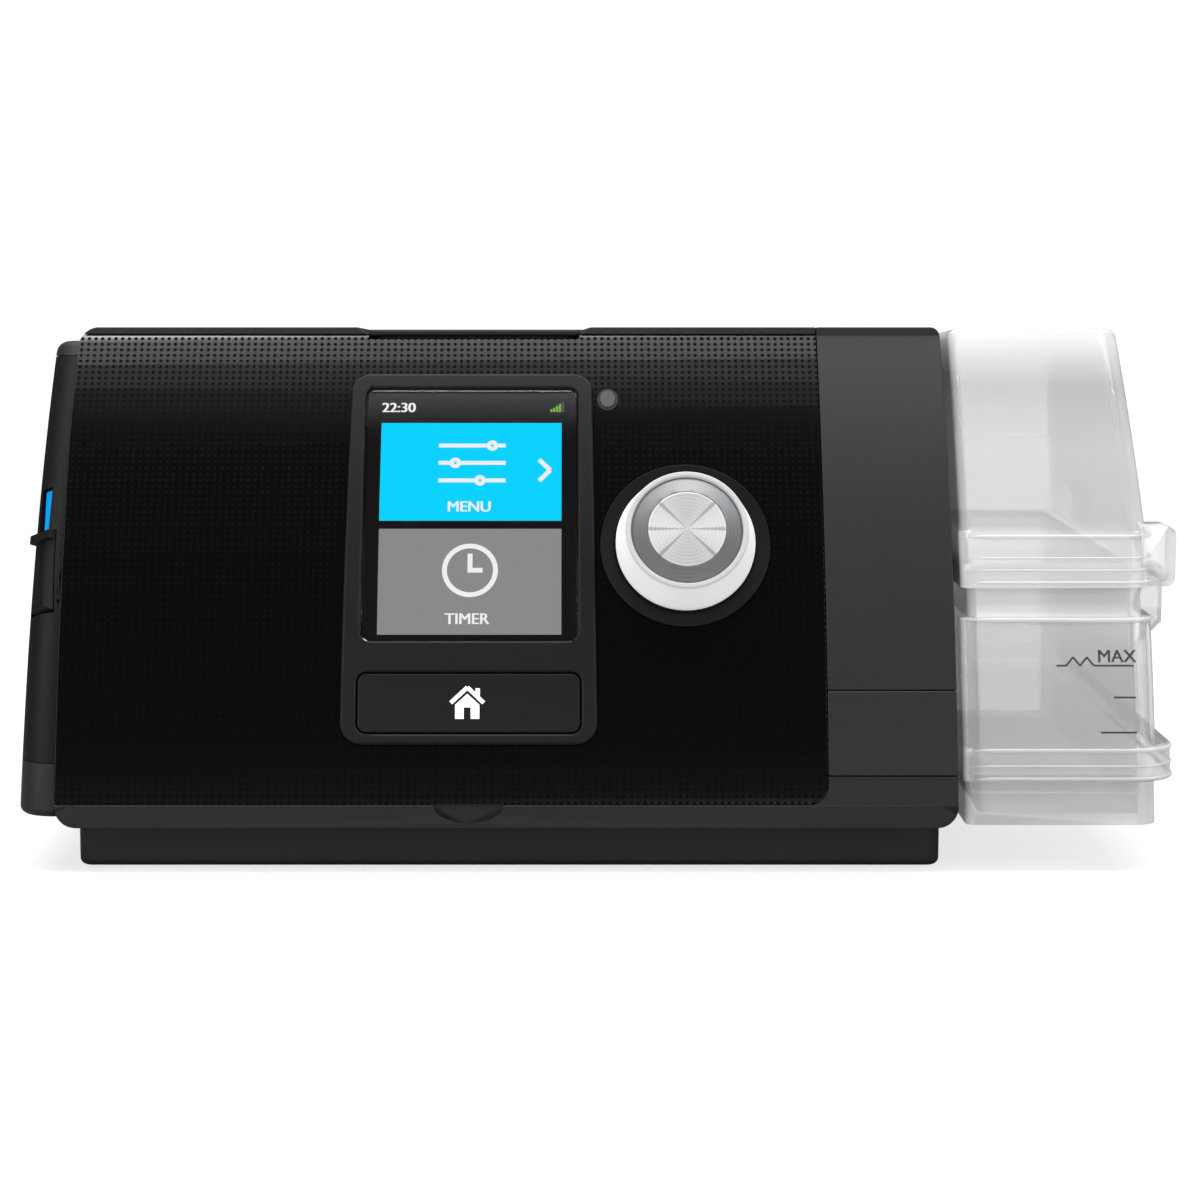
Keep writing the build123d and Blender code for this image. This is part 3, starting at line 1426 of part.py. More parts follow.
def tub_base():
    """Clear base: foot, flange, wall with a neck for the lid, and the tongue in the bay."""
    step = tub_step
    foot = soft(tub_outline(tub_x0 + foot_step / 2, tub_x1 - foot_step / 2, step + foot_step, tub_floor_z,
                            flange_foot_z + bite), tub_round, tub_corner - foot_step)
    belt = soft(tub_outline(tub_x0, tub_x1 + flange_reach, step - flange_front, flange_foot_z, flange_top_z),
                tub_round, tub_corner + flange_reach)
    main = soft(tub_outline(tub_x0, tub_x1, step, flange_top_z - bite, shoulder_z), tub_round, tub_corner)
    neck = soft(neck_block(0, shoulder_z - bite, neck_top_z), tub_round, tub_corner - neck_inset)
    body = foot + belt + main + neck
    tongue = block(tongue_x0, tub_x0 + tub_wall, bay_front_y + slide_gap, bay_rear_y - slide_gap,
                   tongue_z0, bay_top_z - slide_gap)
    body += tongue
    body -= soft(neck_block(tub_wall, tub_floor_z + tub_wall, neck_top_z + 1), tub_round / 2,
                 tub_corner - neck_inset - tub_wall)
    body -= block(tongue_x0 + tub_wall, tub_x0 + 3 * tub_wall, bay_front_y + slide_gap + tub_wall,
                  bay_rear_y - slide_gap - tub_wall, tongue_z0 + tub_wall, bay_top_z - slide_gap - tub_wall)
    body -= plate_block(-plate_lip, tongue_z0 - 1, tongue_z0 + 2 * tub_wall)
    body -= plate_block(part_gap, tongue_z0 - 1, tongue_z0 + plate_thick + part_gap / 2)
    for y in (port_in_y, port_out_y):
        half = port_radius + bite
        outer, x0 = half + baffle_wall, tongue_x0 + tub_wall / 2
        baffle = block(x0, x0 + baffle_reach, y - outer, y + outer, tongue_z0 + bite, baffle_top_z)
        body += baffle - block(x0 - 1, x0 + baffle_reach - baffle_wall, y - half, y + half, port_z - half,
                               baffle_top_z + 1)
        body -= port_rod(y, port_radius, tongue_x0 - 1, tongue_x0 + tub_wall + 1)
    for y in ear_places():
        body += ear(y)
        body -= pivot_rod(hinge_pin_radius + press_fit, y - 1, y + ear_length + 1)
    return body


def neck_block(inset, z0, z1):
    """Neck under the lid, and the space inside it."""
    inner = neck_inset + inset
    return tub_outline(tub_x0 + inner, tub_x1 - inner, tub_step + inner, z0, z1)


def plate_block(grow, z0, z1):
    """Block with the tub plate's outline."""
    half_x, half_y = plate_length / 2 + grow, plate_depth / 2 + grow
    return block(plate_x - half_x, plate_x + half_x, plate_y - half_y, plate_y + half_y, z0, z1)


def ear_places():
    """Start of each of the base's hinge ears, behind the front lug and in front of the rear one."""
    return [hinge_front_y + lug_length + gap, hinge_rear_y - gap - ear_length]


def pivot_rod(radius, y0, y1):
    """A round bar along Y on the lid's hinge line."""
    return rod(Plane(origin=(pivot_x, y0, pivot_z), z_dir=(0, 1, 0)), radius, 0, y1 - y0)


def ear(y):
    """Hinge ear that stands on the base's right wall."""
    near, far = pivot_x - knuckle_radius, pivot_x + knuckle_radius
    root = tub_x1 - bite
    web = Polygon((root, shoulder_z - ear_drop), (root, shoulder_z - gap), (near, lid_foot_z - gap),
                  (near, pivot_z), (far, pivot_z), (far, shoulder_z - ear_drop / 3), align=None)
    plate = Pos(0, y, 0) * extrude(Plane.XZ * web, ear_length, dir=(0, 1, 0))
    return plate + pivot_rod(knuckle_radius, y, y + ear_length)


def tub_plate():
    """Metal plate in the tongue's floor."""
    return plate_block(0, tongue_z0, tongue_z0 + plate_thick)


def tub_hinge_pins():
    """Two pins that the lid turns on."""
    front, rear = ear_places()
    return Compound(children=[
        pivot_rod(hinge_pin_radius, hinge_front_y + hinge_pin_in, front + ear_length),
        pivot_rod(hinge_pin_radius, rear, hinge_rear_y + lug_length - hinge_pin_in)])


def lid_block(inset, z0):
    """Lid's body above its band, leaning in at the right, with its inner surface at an inset."""
    left, right = tub_x0 + lid_left + inset, tub_x1 - lid_right - inset
    body = tub_outline(left, right + 2 * bite, tub_step + inset, z0, height)
    lean = Pos(right, 0, band_top_z) * Rot(0, -lid_side_lean, 0) * Pos(big / 2, 0, 0) * Box(big, big, big)
    body -= lean
    front = [e for e in body.edges() if e.bounding_box().size.Z > (height - z0) / 2 and e.center().Y < 0]
    body = fillet(ShapeList(front).sort_by(Axis.X)[-1:], tub_corner - bite - inset)
    return fillet([e for e in body.edges() if e.center().Z > z0 + bite], lid_round - inset)


def tub_lid():
    """Clear lid with a ribbed band, a lug at each hinge and a step over the seal."""
    band = tub_outline(tub_x0 + band_left, tub_x1 + band_proud, tub_step - band_front, lid_foot_z,
                       band_top_z)
    body = lid_block(0, band_top_z - 2 * bite) + soft(band, tub_round, tub_corner + band_proud)
    for y in (hinge_front_y, hinge_rear_y):
        lug = block(tub_x1 - lug_root, x_right, y, y + lug_length, pivot_z - knuckle_radius, lug_top_z)
        body += fillet(lug.edges().filter_by(Axis.Y).sort_by(Axis.X)[-2:], lug_round)
    body -= lid_block(lid_wall, band_top_z)
    left, right = tub_x0 + lid_left + lid_wall, tub_x1 - lid_right - lid_wall
    body -= soft(tub_outline(left, right, tub_step + lid_wall, lid_foot_z + bite, band_top_z + part_gap),
                 tub_round / 2, tub_corner - lid_wall)
    body -= neck_play(lid_play, lid_foot_z - 1, seal_top)
    for y in ear_places():
        body -= block(tub_x1 + band_proud - 0.01, big, y - gap, y + ear_length + gap, 0, lug_top_z + 1)
    for y, toward in ((hinge_front_y, 1), (hinge_rear_y, -1)):
        low = y + hinge_bore_in if toward > 0 else y - 1
        body -= pivot_rod(hinge_pin_radius + shaft_fit, low, low + lug_length - hinge_bore_in + 1)
    return body


seal_low = neck_top_z + seal_face
seal_top = seal_low + seal_thick + part_gap / 2


def neck_play(play, z0, z1):
    """Neck's outline grown by some play."""
    body = tub_outline(tub_x0 + neck_inset - play, tub_x1 - neck_inset + play,
                       tub_step + neck_inset - play, lid_foot_z - 2 * wall, neck_top_z + 2 * wall)
    return soft(body, tub_round, tub_corner - neck_inset + play) & block(-big, big, -big, big, z0, z1)


def tub_seal():
    """Soft seal under the lid's step, over the neck's top."""
    ring = neck_play(lid_play - part_gap, seal_low, seal_low + seal_thick)
    return ring - neck_play(-tub_wall - gap, seal_low - 1, seal_top + 1)


# ---------------------------------------------------------------- all pieces
PIECES = [
    base_plinth, rubber_feet, plinth_screws, lower_case, rear_case, top_deck, front_fascia, dock_cover,
    dock_label_panel, dock_frame, side_panel_left, side_cap_left, adapter_cover, sd_door, sd_card, sd_socket,
    screen_bezel, screen_glass, lcd_module, home_button, light_sensor, dial_ring, dial_skirt, dial_cap,
    dial_disc, dial_shaft, dial_plunger, encoder_body, start_button, start_switch, main_board, board_parts,
    board_screws, power_board, power_inlet, retention_clip, filter_cover, filter_pad, blower_housing_lower,
    blower_housing_upper, blower_mounts, impeller, motor_shaft, motor_stator, motor_bearings, blower_duct,
    port_seals, outlet_duct, air_outlet, tube_contacts, inlet_muffler, muffler_foam, heater_plate,
    heater_insulator, tub_base, tub_plate, tub_hinge_pins, tub_lid, tub_seal,
]

os.makedirs("parts", exist_ok=True)
for piece in PIECES:
    export_step(piece(), f"parts/{piece.__name__}.step")
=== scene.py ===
"""Looks of a bedside breathing machine with a slide-in water tub.

Metres, +Z up, the face looks along -Y, the origin is the middle of the footprint on the table.
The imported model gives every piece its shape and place. This script eases its edges, gives each
surface its finish, and adds what is printed, lit or moulded too finely for the solids.
"""

from math import asin, cos, pi, radians, sin
import json

import bmesh
import bpy
import numpy as np
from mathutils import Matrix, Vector


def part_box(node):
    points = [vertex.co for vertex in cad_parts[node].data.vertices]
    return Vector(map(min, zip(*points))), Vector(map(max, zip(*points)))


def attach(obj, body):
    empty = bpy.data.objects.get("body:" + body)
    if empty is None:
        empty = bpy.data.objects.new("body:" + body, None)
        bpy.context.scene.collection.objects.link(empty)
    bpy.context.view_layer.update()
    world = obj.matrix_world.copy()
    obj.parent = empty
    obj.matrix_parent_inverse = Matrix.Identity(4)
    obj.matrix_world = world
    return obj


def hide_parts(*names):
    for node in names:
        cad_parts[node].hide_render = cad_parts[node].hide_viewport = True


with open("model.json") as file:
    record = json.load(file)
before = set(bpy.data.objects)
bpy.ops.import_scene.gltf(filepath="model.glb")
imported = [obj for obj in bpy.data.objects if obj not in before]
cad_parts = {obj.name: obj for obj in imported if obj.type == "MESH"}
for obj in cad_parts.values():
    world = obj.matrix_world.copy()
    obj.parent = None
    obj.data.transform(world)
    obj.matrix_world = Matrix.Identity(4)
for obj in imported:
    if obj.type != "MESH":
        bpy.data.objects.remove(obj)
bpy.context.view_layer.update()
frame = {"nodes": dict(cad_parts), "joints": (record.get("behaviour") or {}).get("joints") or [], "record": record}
MM = 0.001

# ---------------------------------------------------------------- sizes
# curved face: an arc in the side view, the same as the solids'
FACE_RADIUS = 248.5 * MM
FACE_FOOT_LEAN = radians(11.67)
CHIN_PROUD = 0.3 * MM
FACE_FOOT_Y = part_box("lower_case")[0].y + CHIN_PROUD
FACE_FOOT_Z = 15.2 * MM
CENTRE_Y = FACE_FOOT_Y + FACE_RADIUS * cos(FACE_FOOT_LEAN)
CENTRE_Z = FACE_FOOT_Z - FACE_RADIUS * sin(FACE_FOOT_LEAN)

DOT_PITCH = 1.52 * MM        # square grid of pinhead dots over the gloss face
DOT_RADIUS = 0.42 * MM

# deck, sloping down to the rear from its front lip
LIP_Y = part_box("top_deck")[0].y
LIP_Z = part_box("top_deck")[1].z
DECK_SLOPE = radians(4.0)
SCREEN_X = -28.6 * MM
START_X = SCREEN_X
START_MIDDLE = 7.9 * MM      # from the lip to the middle of the start key
START_TOP = -0.77 * MM       # marks lie just above the key's top, below the deck

# display, measured along X and up the face from its foot
PANEL_DEPTH = -1.18 * MM     # dark panel just in front of the display, under the glass
TILE_DEPTH = -1.16 * MM
PANEL_HALF = 23.4 * MM
PANEL_ENDS = (36.1 * MM, 95.5 * MM)
REFLECTION_FOOT_Z = 91.0 * MM      # painted reflection of the glass: the panel brightens from here up to its top, slowly at first
REFLECTION_TOP_Z = 103.0 * MM
TILE_LEFT = -48.9 * MM
TILE_RIGHT = -8.4 * MM
MENU_TILE = (63.8 * MM, 87.8 * MM)
NIGHT_TILE = (37.5 * MM, 61.9 * MM)
HEADER_LOW = 90.6 * MM
HEADER_HEIGHT = 2.5 * MM
LABEL_HEIGHT = 2.6 * MM
MENU_MARK = (-28.4 * MM, 77.8 * MM)      # a mark's middle
MENU_WORD = (-33.7 * MM, 66.0 * MM)      # a word's left end and foot
NIGHT_MARK = (-28.6 * MM, 52.2 * MM)
NIGHT_WORD = (-34.1 * MM, 39.9 * MM)
NEXT_TIP = (-10.9 * MM, 76.0 * MM)
NEXT_BACK = -13.4 * MM
NEXT_HALF = 2.6 * MM
SIGNAL_HALF = 0.25 * MM
SIGNAL_BARS = ((-10.7 * MM, 0.7 * MM), (-10.05 * MM, 1.1 * MM), (-9.4 * MM, 1.6 * MM), (-8.75 * MM, 2.1 * MM))
SIGNAL_REST = (-8.05 * MM, 2.6 * MM)
HOME_MARK_OUT = 0.93 * MM    # on the wide key's front
MARK_RISE = 0.03 * MM

# light sensor, beside the screen
SENSOR_ARC = 93.46 * MM
SENSOR_HALF = (1.75 * MM, 2.15 * MM)
# half sizes of the black oval round the lens, a painted shadow of the gap between lens and face
SENSOR_SHADE_HALF = (2.35 * MM, 2.75 * MM)

# dial
RING_PITCH = 0.8 * MM        # turning marks on the metal
SKIRT_TONE = (0.82, 0.82, 0.82)
SKIRT_RIM_TONE = (0.3, 0.3, 0.3)
SKIRT_SHADE = (9.8 * MM, 10.9 * MM)   # heights between which the grip darkens
REFLECTED_RAY_COUNT = 8.0              # painted reflection: dark rays in one turn of the disc, evenly spaced
PAINTED_SPOKE_DEPTH = 0.4            # how much darker the painted rays are

# tub
TUB_STEP = 0.4 * MM          # the tub's front stands back from the line of the face
INK_RISE = 0.03 * MM
MAX_LEVEL_Z = 44.5 * MM
LEVEL_RIGHT_X = 117.2 * MM
LEVEL_LINE = 0.4 * MM
LOW_MARKS = ((37.8 * MM, 112.4 * MM), (30.4 * MM, 109.3 * MM))   # height and left end

# rims of the tub: rods along its walls, each rim with its height and radius
# a step is how far a rim stands back from the line of the face
ROD_SIDES = 10
WALL_LEFT = 79.8 * MM
WALL_RIGHT = 122.2 * MM
SHOULDER_Z = 54.0 * MM
SHOULDER_BEND = 6.0 * MM
SHOULDER_DEPTH = 60 * MM
SHOULDER_ROD = 0.5 * MM
FLANGE_RIGHT = 126.0 * MM
FLANGE_BEND = 9.8 * MM
FLANGE_STEP = 0.3 * MM
FLANGE_DEPTH = 90 * MM
FLANGE_RIMS = ((26.5 * MM, 0.5 * MM), (23.2 * MM, 0.35 * MM), (20.5 * MM, 0.45 * MM))
WALL_CORNER_X = 120.6 * MM
CORNER_HEIGHTS = np.linspace(28.0, 53.5, 14) * MM
CORNER_BACK = 1.6 * MM
CORNER_ROD = 0.45 * MM
BAND_LEFT = 80.2 * MM
BAND_RIGHT = 122.9 * MM
BAND_BEND = 6.7 * MM
BAND_STEP = 0.25 * MM
BAND_DEPTH = 9 * MM
BAND_RIMS = ((71.6 * MM, 0.55 * MM), (67.1 * MM, 0.3 * MM), (64.5 * MM, 0.3 * MM), (61.9 * MM, 0.4 * MM))


# ---------------------------------------------------------------- places on the curved face
def on_face(x, s, out):
    """Points in front of the curved face, s up its arc from its foot.

    With lean = foot lean + s / R: (x, centre y - (R + out) cos lean, centre z + (R + out) sin lean).
    """
    lean = FACE_FOOT_LEAN + s / FACE_RADIUS
    reach = FACE_RADIUS + out
    return np.stack([x, CENTRE_Y - reach * np.cos(lean), CENTRE_Z + reach * np.sin(lean)], axis=-1)


def on_deck(x, t, out):
    """Points above the deck, t back from its lip.

    On the deck: (x, lip y + t cos slope, lip z - t sin slope), then out along (0, sin slope, cos slope).
    """
    y = LIP_Y + t * cos(DECK_SLOPE) + out * sin(DECK_SLOPE)
    return np.stack([x, y, LIP_Z - t * sin(DECK_SLOPE) + out * cos(DECK_SLOPE)], axis=-1)


def arc_at(z, out):
    """Arc distance up the face at which a point so far in front of it has height z."""
    return FACE_RADIUS * (asin((z - CENTRE_Z) / (FACE_RADIUS + out)) - FACE_FOOT_LEAN)


# ---------------------------------------------------------------- meshes
def grid_mesh(name, points, material, closed=False):
    """Mesh from an array of points (rows, columns, 3); closed joins each row's end to its start."""
    rows, columns = points.shape[:2]
    index = np.arange(rows * columns).reshape(rows, columns)
    if closed:
        index = np.concatenate([index, index[:, :1]], axis=1)
    a, b, c, d = index[:-1, :-1], index[:-1, 1:], index[1:, 1:], index[1:, :-1]
    faces = np.stack([a, b, c, d], axis=-1).reshape(-1, 4)
    mesh = bpy.data.meshes.new(name)
    mesh.from_pydata(points.reshape(-1, 3).tolist(), [], faces.tolist())
    mesh.materials.append(material)
    mesh.shade_smooth()
    return link(name, mesh)


def link(name, data):
    """Object at the origin that holds a mesh, curve, light or camera."""
    piece = bpy.data.objects.new(name, data)
    bpy.context.scene.collection.objects.link(piece)
    return piece


def joined(name, pieces):
    """Several objects made one, under a new name."""
    bpy.ops.object.select_all(action="DESELECT")
    for piece in pieces:
        piece.select_set(True)
    bpy.context.view_layer.objects.active = pieces[0]
    bpy.ops.object.join()
    pieces[0].name = pieces[0].data.name = name
    return pieces[0]


def body_of(node):
    """Name of the body that a CAD node rides on."""
    return next(name for name, nodes in frame["record"]["behaviour"]["bodies"].items() if node in nodes)


def eased(node, width, material, sharp=26.0):
    """Copy of a CAD node with merged corners and smooth shading, riding in its place.

    A width also merges its flat faces and rounds its sharp edges by that much.
    """
    source = frame["nodes"][node]
    work = bmesh.new()
    work.from_mesh(source.data)
    bmesh.ops.remove_doubles(work, verts=work.verts, dist=1e-6)
    if width:
        bmesh.ops.dissolve_limit(work, angle_limit=radians(0.4), verts=work.verts, edges=work.edges)
    mesh = bpy.data.meshes.new(node + "_eased")
    work.to_mesh(mesh)
    work.free()
    mesh.shade_smooth()
    mesh.set_sharp_from_angle(angle=radians(sharp))
    mesh.materials.clear()
    mesh.materials.append(material)
    piece = link(node + "_eased", mesh)
    if width:
        bevel = piece.modifiers.new("eased_edges", "BEVEL")
        bevel.width = width
        bevel.segments = 2
        bevel.limit_method = "ANGLE"
        bevel.angle_limit = radians(sharp)
        bevel.use_clamp_overlap = False
        bevel.harden_normals = True
    weighted = piece.modifiers.new("even_shading", "WEIGHTED_NORMAL")
    weighted.keep_sharp = True
    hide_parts(node)
    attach(piece, body_of(node))
    return piece


# ---------------------------------------------------------------- shader building
class Finish:
    """One material: a Principled shader and the few textures that vary it."""

    def __init__(self, name, color, roughness, metallic=0.0, **constants):
        self.material = bpy.data.materials.new(name)
        self.material.use_nodes = True
        self.tree = self.material.node_tree
        self.shader = self.tree.nodes["Principled BSDF"]
        self.place = self.add("ShaderNodeTexCoord").outputs["Object"]
        self.set("Base Color", (*color, 1.0))
        self.set("Roughness", roughness)
        self.set("Metallic", metallic)
        for socket, value in constants.items():
            self.set(socket.replace("_", " "), value)

    def add(self, kind, **settings):
        """New node with some of its settings."""
        node = self.tree.nodes.new(kind)
        for key, value in settings.items():
            setattr(node, key, value)
        return node

    def set(self, socket, value):
        self.shader.inputs[socket].default_value = value

    def join(self, output, target):
        self.tree.links.new(output, target)

    def math(self, operation, a, b=None):
        """Output of a Math node whose inputs are outputs or plain numbers."""
        node = self.add("ShaderNodeMath", operation=operation)
        for socket, value in zip(node.inputs, (a, b)):
            if isinstance(value, (int, float)):
                socket.default_value = value
            elif value is not None:
                self.join(value, socket)
        return node.outputs[0]

    def noise(self, size, detail=2.0, stretch=(1.0, 1.0, 1.0)):
        """Noise whose grain is about size across."""
        mapping = self.add("ShaderNodeMapping")
        mapping.inputs["Scale"].default_value = stretch
        self.join(self.place, mapping.inputs["Vector"])
        noise = self.add("ShaderNodeTexNoise")
        noise.inputs["Scale"].default_value = 1.0 / size
        noise.inputs["Detail"].default_value = detail
        self.join(mapping.outputs["Vector"], noise.inputs["Vector"])
        return noise.outputs["Fac"]

    def part(self, vector, axis):
        """One coordinate of a vector."""
        split = self.add("ShaderNodeSeparateXYZ")
        self.join(vector, split.inputs["Vector"])
        return split.outputs[axis]

    def ranged(self, value, low, high, start=0.0, end=1.0):
        """A factor mapped to run from low to high."""
        node = self.add("ShaderNodeMapRange")
        for socket, number in zip(("From Min", "From Max", "To Min", "To Max"), (start, end, low, high)):
            node.inputs[socket].default_value = number
        self.join(value, node.inputs["Value"])
        return node.outputs["Result"]

    def mixed(self, factor, first, second):
        """Colour between two colours, each an output or plain."""
        node = self.add("ShaderNodeMix", data_type="RGBA")
        for socket, value in (("A", first), ("B", second)):
            if isinstance(value, tuple):
                node.inputs[socket].default_value = (*value, 1.0)
            else:
                self.join(value, node.inputs[socket])
        self.join(factor, node.inputs["Factor"])
        return node.outputs["Result"]

    def tint(self, factor, first, second, socket="Base Color"):
        """Base colour, or another colour, between two colours."""
        self.join(self.mixed(factor, first, second), self.shader.inputs[socket])
        return self

    def rough(self, factor, low, high):
        self.join(self.ranged(factor, low, high), self.shader.inputs["Roughness"])
        return self

    def bump(self, height, depth, strength=1.0):
        """Relief from a height of 0 to 1, so deep in metres."""
        node = self.add("ShaderNodeBump")
        node.inputs["Distance"].default_value = depth
        node.inputs["Strength"].default_value = strength
        self.join(height, node.inputs["Height"])
        self.join(node.outputs["Normal"], self.shader.inputs["Normal"])
        return self


def moulded(name, color, roughness, grain=0.35 * MM, depth=0.012 * MM, **constants):
    """Moulded plastic: fine spark grain, and a faint drift of shade and sheen over some centimetres."""
    finish = Finish(name, color, roughness, **constants)
    drift = finish.noise(30 * MM, 3.0)
    darker = tuple(0.9 * c for c in color)
    lighter = tuple(min(1.0, 1.1 * c) for c in color)
    finish.tint(drift, darker, lighter)
    fine = finish.noise(grain, 1.0)
    finish.rough(fine, roughness * 0.85, min(1.0, roughness * 1.15))
    return finish.bump(fine, depth)


def skirt_white(centre, axis):
    """White grip with a faint painted glow that lifts its white, and that darkens over the last millimetre up to
    its rim.
    """
    # painted glow: the emission only brightens the white plastic
    finish = Finish("dial_white", SKIRT_TONE, 0.35, Emission_Color=(1.0, 1.0, 1.0, 1.0),
                    Emission_Strength=0.26)
    shift = finish.add("ShaderNodeVectorMath", operation="SUBTRACT")
    shift.inputs[1].default_value = centre
    finish.join(finish.place, shift.inputs[0])
    along = finish.add("ShaderNodeVectorMath", operation="DOT_PRODUCT")
    along.inputs[1].default_value = axis
    finish.join(shift.outputs["Vector"], along.inputs[0])
    shade = finish.ranged(along.outputs["Value"], 0.0, 1.0, *SKIRT_SHADE)
    return finish.tint(shade, SKIRT_TONE, SKIRT_RIM_TONE)


def metal(name, color, roughness, brush=(1.0, 1.0, 1.0)):
    """Bare metal with brushed or rolled streaks."""
    finish = Finish(name, color, roughness, metallic=1.0)
    streaks = finish.noise(0.4 * MM, 3.0, brush)
    finish.tint(streaks, tuple(0.85 * c for c in color), color)
    finish.rough(streaks, roughness * 0.7, roughness * 1.3)
    return finish.bump(streaks, 0.004 * MM)


def lit(name, color, strength):
    """A lit patch of the display."""
    return Finish(name, (0.0, 0.0, 0.0), 0.5, Specular_IOR_Level=0.0, Emission_Color=(*color, 1.0),
                  Emission_Strength=strength)


# ---------------------------------------------------------------- finishes
GLOSS_TONE = (0.0011, 0.0011, 0.0013)
DOT_TONE = (0.0065, 0.0065, 0.007)


def gloss_face():
    """Piano black with a square grid of matt dots, laid out along X and up the arc."""
    finish = Finish("gloss_face", GLOSS_TONE, 0.14)
    up = finish.math("SUBTRACT", finish.part(finish.place, "Z"), CENTRE_Z)
    back = finish.math("SUBTRACT", CENTRE_Y, finish.part(finish.place, "Y"))
    turn = finish.math("ARCTAN2", up, back)
    across = finish.math("DIVIDE", finish.part(finish.place, "X"), DOT_PITCH)
    along = finish.math("MULTIPLY", turn, FACE_RADIUS / DOT_PITCH)
    off_x = finish.math("SUBTRACT", finish.math("FRACT", across), 0.5)
    off_s = finish.math("SUBTRACT", finish.math("FRACT", along), 0.5)
    squares = finish.math("ADD", finish.math("MULTIPLY", off_x, off_x), finish.math("MULTIPLY", off_s, off_s))
    distance = finish.math("SQRT", squares)
    radius = DOT_RADIUS / DOT_PITCH
    # a dot's colour fades out at its edge, and its matt middle is a little smaller
    dot = finish.ranged(distance, 1.0, 0.0, radius * 0.9, radius * 1.25)
    matt = finish.ranged(distance, 1.0, 0.0, radius * 0.7, radius * 0.95)
    finish.tint(dot, GLOSS_TONE, DOT_TONE)
    finish.join(dot, finish.shader.inputs["Metallic"])
    return finish.rough(matt, 0.12, 0.8)


def clear_plastic(name, tone_and_shade, opacity, edge_opacity, roughness):
    """Clear moulding seen as a veil: thin where it faces the eye, denser where it turns away.

    Tone and shade are pairs of a height and the grey there, in rising order: the moulding's own grey with painted
    light and shade by height.
    """
    finish = Finish(name, (tone_and_shade[0][1],) * 3, roughness)
    # painted light and shade: the base colour steps through greys by height, as the light falls on the moulding
    tone_and_shade_ramp = finish.add("ShaderNodeValToRGB")
    ramp = tone_and_shade_ramp.color_ramp
    while len(ramp.elements) < len(tone_and_shade):
        ramp.elements.new(1.0)
    for stop, (height, grey) in zip(ramp.elements, tone_and_shade):
        stop.position = height / LIP_Z
        stop.color = (grey, grey, grey, 1.0)
    finish.join(finish.ranged(finish.part(finish.place, "Z"), 0.0, 1.0, 0.0, LIP_Z), tone_and_shade_ramp.inputs["Fac"])
    finish.join(tone_and_shade_ramp.outputs["Color"], finish.shader.inputs["Base Color"])
    facing = finish.add("ShaderNodeLayerWeight")
    facing.inputs["Blend"].default_value = 0.3
    finish.join(finish.ranged(facing.outputs["Facing"], opacity, edge_opacity), finish.shader.inputs["Alpha"])
    cloud = finish.noise(14 * MM, 2.0)
    finish.rough(cloud, roughness * 0.8, roughness * 1.2)
    finish.bump(finish.noise(5 * MM, 2.0), 0.01 * MM)
    return finish


def spun_disc(name, centre, axis, tone, metallic, painted_spokes):
    """Turned metal: fine rings about the dial's axis, the grain running round it, and darker rays painted as the
    dark bands of its reflection.
    """
    finish = Finish(name, tone, 0.36, metallic=metallic, Anisotropic=0.6)
    shift = finish.add("ShaderNodeVectorMath", operation="SUBTRACT")
    shift.inputs[1].default_value = centre
    finish.join(finish.place, shift.inputs[0])
    around = finish.add("ShaderNodeVectorMath", operation="CROSS_PRODUCT")
    around.inputs[0].default_value = axis
    finish.join(shift.outputs["Vector"], around.inputs[1])
    length = finish.add("ShaderNodeVectorMath", operation="LENGTH")
    finish.join(around.outputs["Vector"], length.inputs[0])
    unit = finish.add("ShaderNodeVectorMath", operation="NORMALIZE")
    finish.join(around.outputs["Vector"], unit.inputs[0])
    finish.join(unit.outputs["Vector"], finish.shader.inputs["Tangent"])
    rings = finish.math("SINE", finish.math("MULTIPLY", length.outputs["Value"], 2 * pi / RING_PITCH))
    soft = finish.ranged(rings, 0.0, 1.0, -1.0, 1.0)
    finish.rough(soft, 0.33, 0.4)
    shade = finish.ranged(soft, 0.93, 1.0)
    # painted reflection: dark rays fixed on the disc, standing in for the bands that the lights make on turned
    # metal
    if painted_spokes:
        # the unit vector has X = -sin of the angle round the axis; with an even count of rays its
        # arcsine does for the angle, and no ray shows near the top or the foot
        turn = finish.math("ARCSINE", finish.math("MULTIPLY", finish.part(unit.outputs["Vector"], "X"), -1.0))
        wave = finish.math("COSINE", finish.math("MULTIPLY", turn, REFLECTED_RAY_COUNT))
        ray = finish.ranged(wave, 0.0, 1.0, 0.82, 1.0)
        upright = finish.math("ABSOLUTE", finish.part(unit.outputs["Vector"], "X"))
        aside = finish.ranged(upright, 1.0, 0.0, 0.75, 0.85)
        dark = finish.math("MULTIPLY", finish.math("MULTIPLY", ray, aside), PAINTED_SPOKE_DEPTH)
        shade = finish.math("SUBTRACT", shade, dark)
    finish.tint(shade, (0.0, 0.0, 0.0), tone)
    return finish


black_satin = moulded("black_satin", (0.005, 0.005, 0.0055), 0.42, Specular_IOR_Level=0.3)
charcoal_case = moulded("charcoal_case", (0.006, 0.006, 0.0062), 0.5, Specular_IOR_Level=0.12)
plinth_black = moulded("plinth_black", (0.013, 0.013, 0.013), 0.5, Specular_IOR_Level=0.15)
chin_black = moulded("chin_black", (0.0135, 0.0135, 0.0135), 0.5, Specular_IOR_Level=0.2)
column_grey = moulded("column_grey", (0.018, 0.018, 0.0182), 0.5, Specular_IOR_Level=0.2)
cap_grey = moulded("cap_grey", (0.016, 0.016, 0.0163), 0.5, Specular_IOR_Level=0.2)
bezel_black = moulded("bezel_black", (0.0115, 0.0115, 0.0115), 0.42, Specular_IOR_Level=0.1)
key_black = moulded("key_black", (0.0062, 0.0062, 0.0065), 0.45, Specular_IOR_Level=0.2)
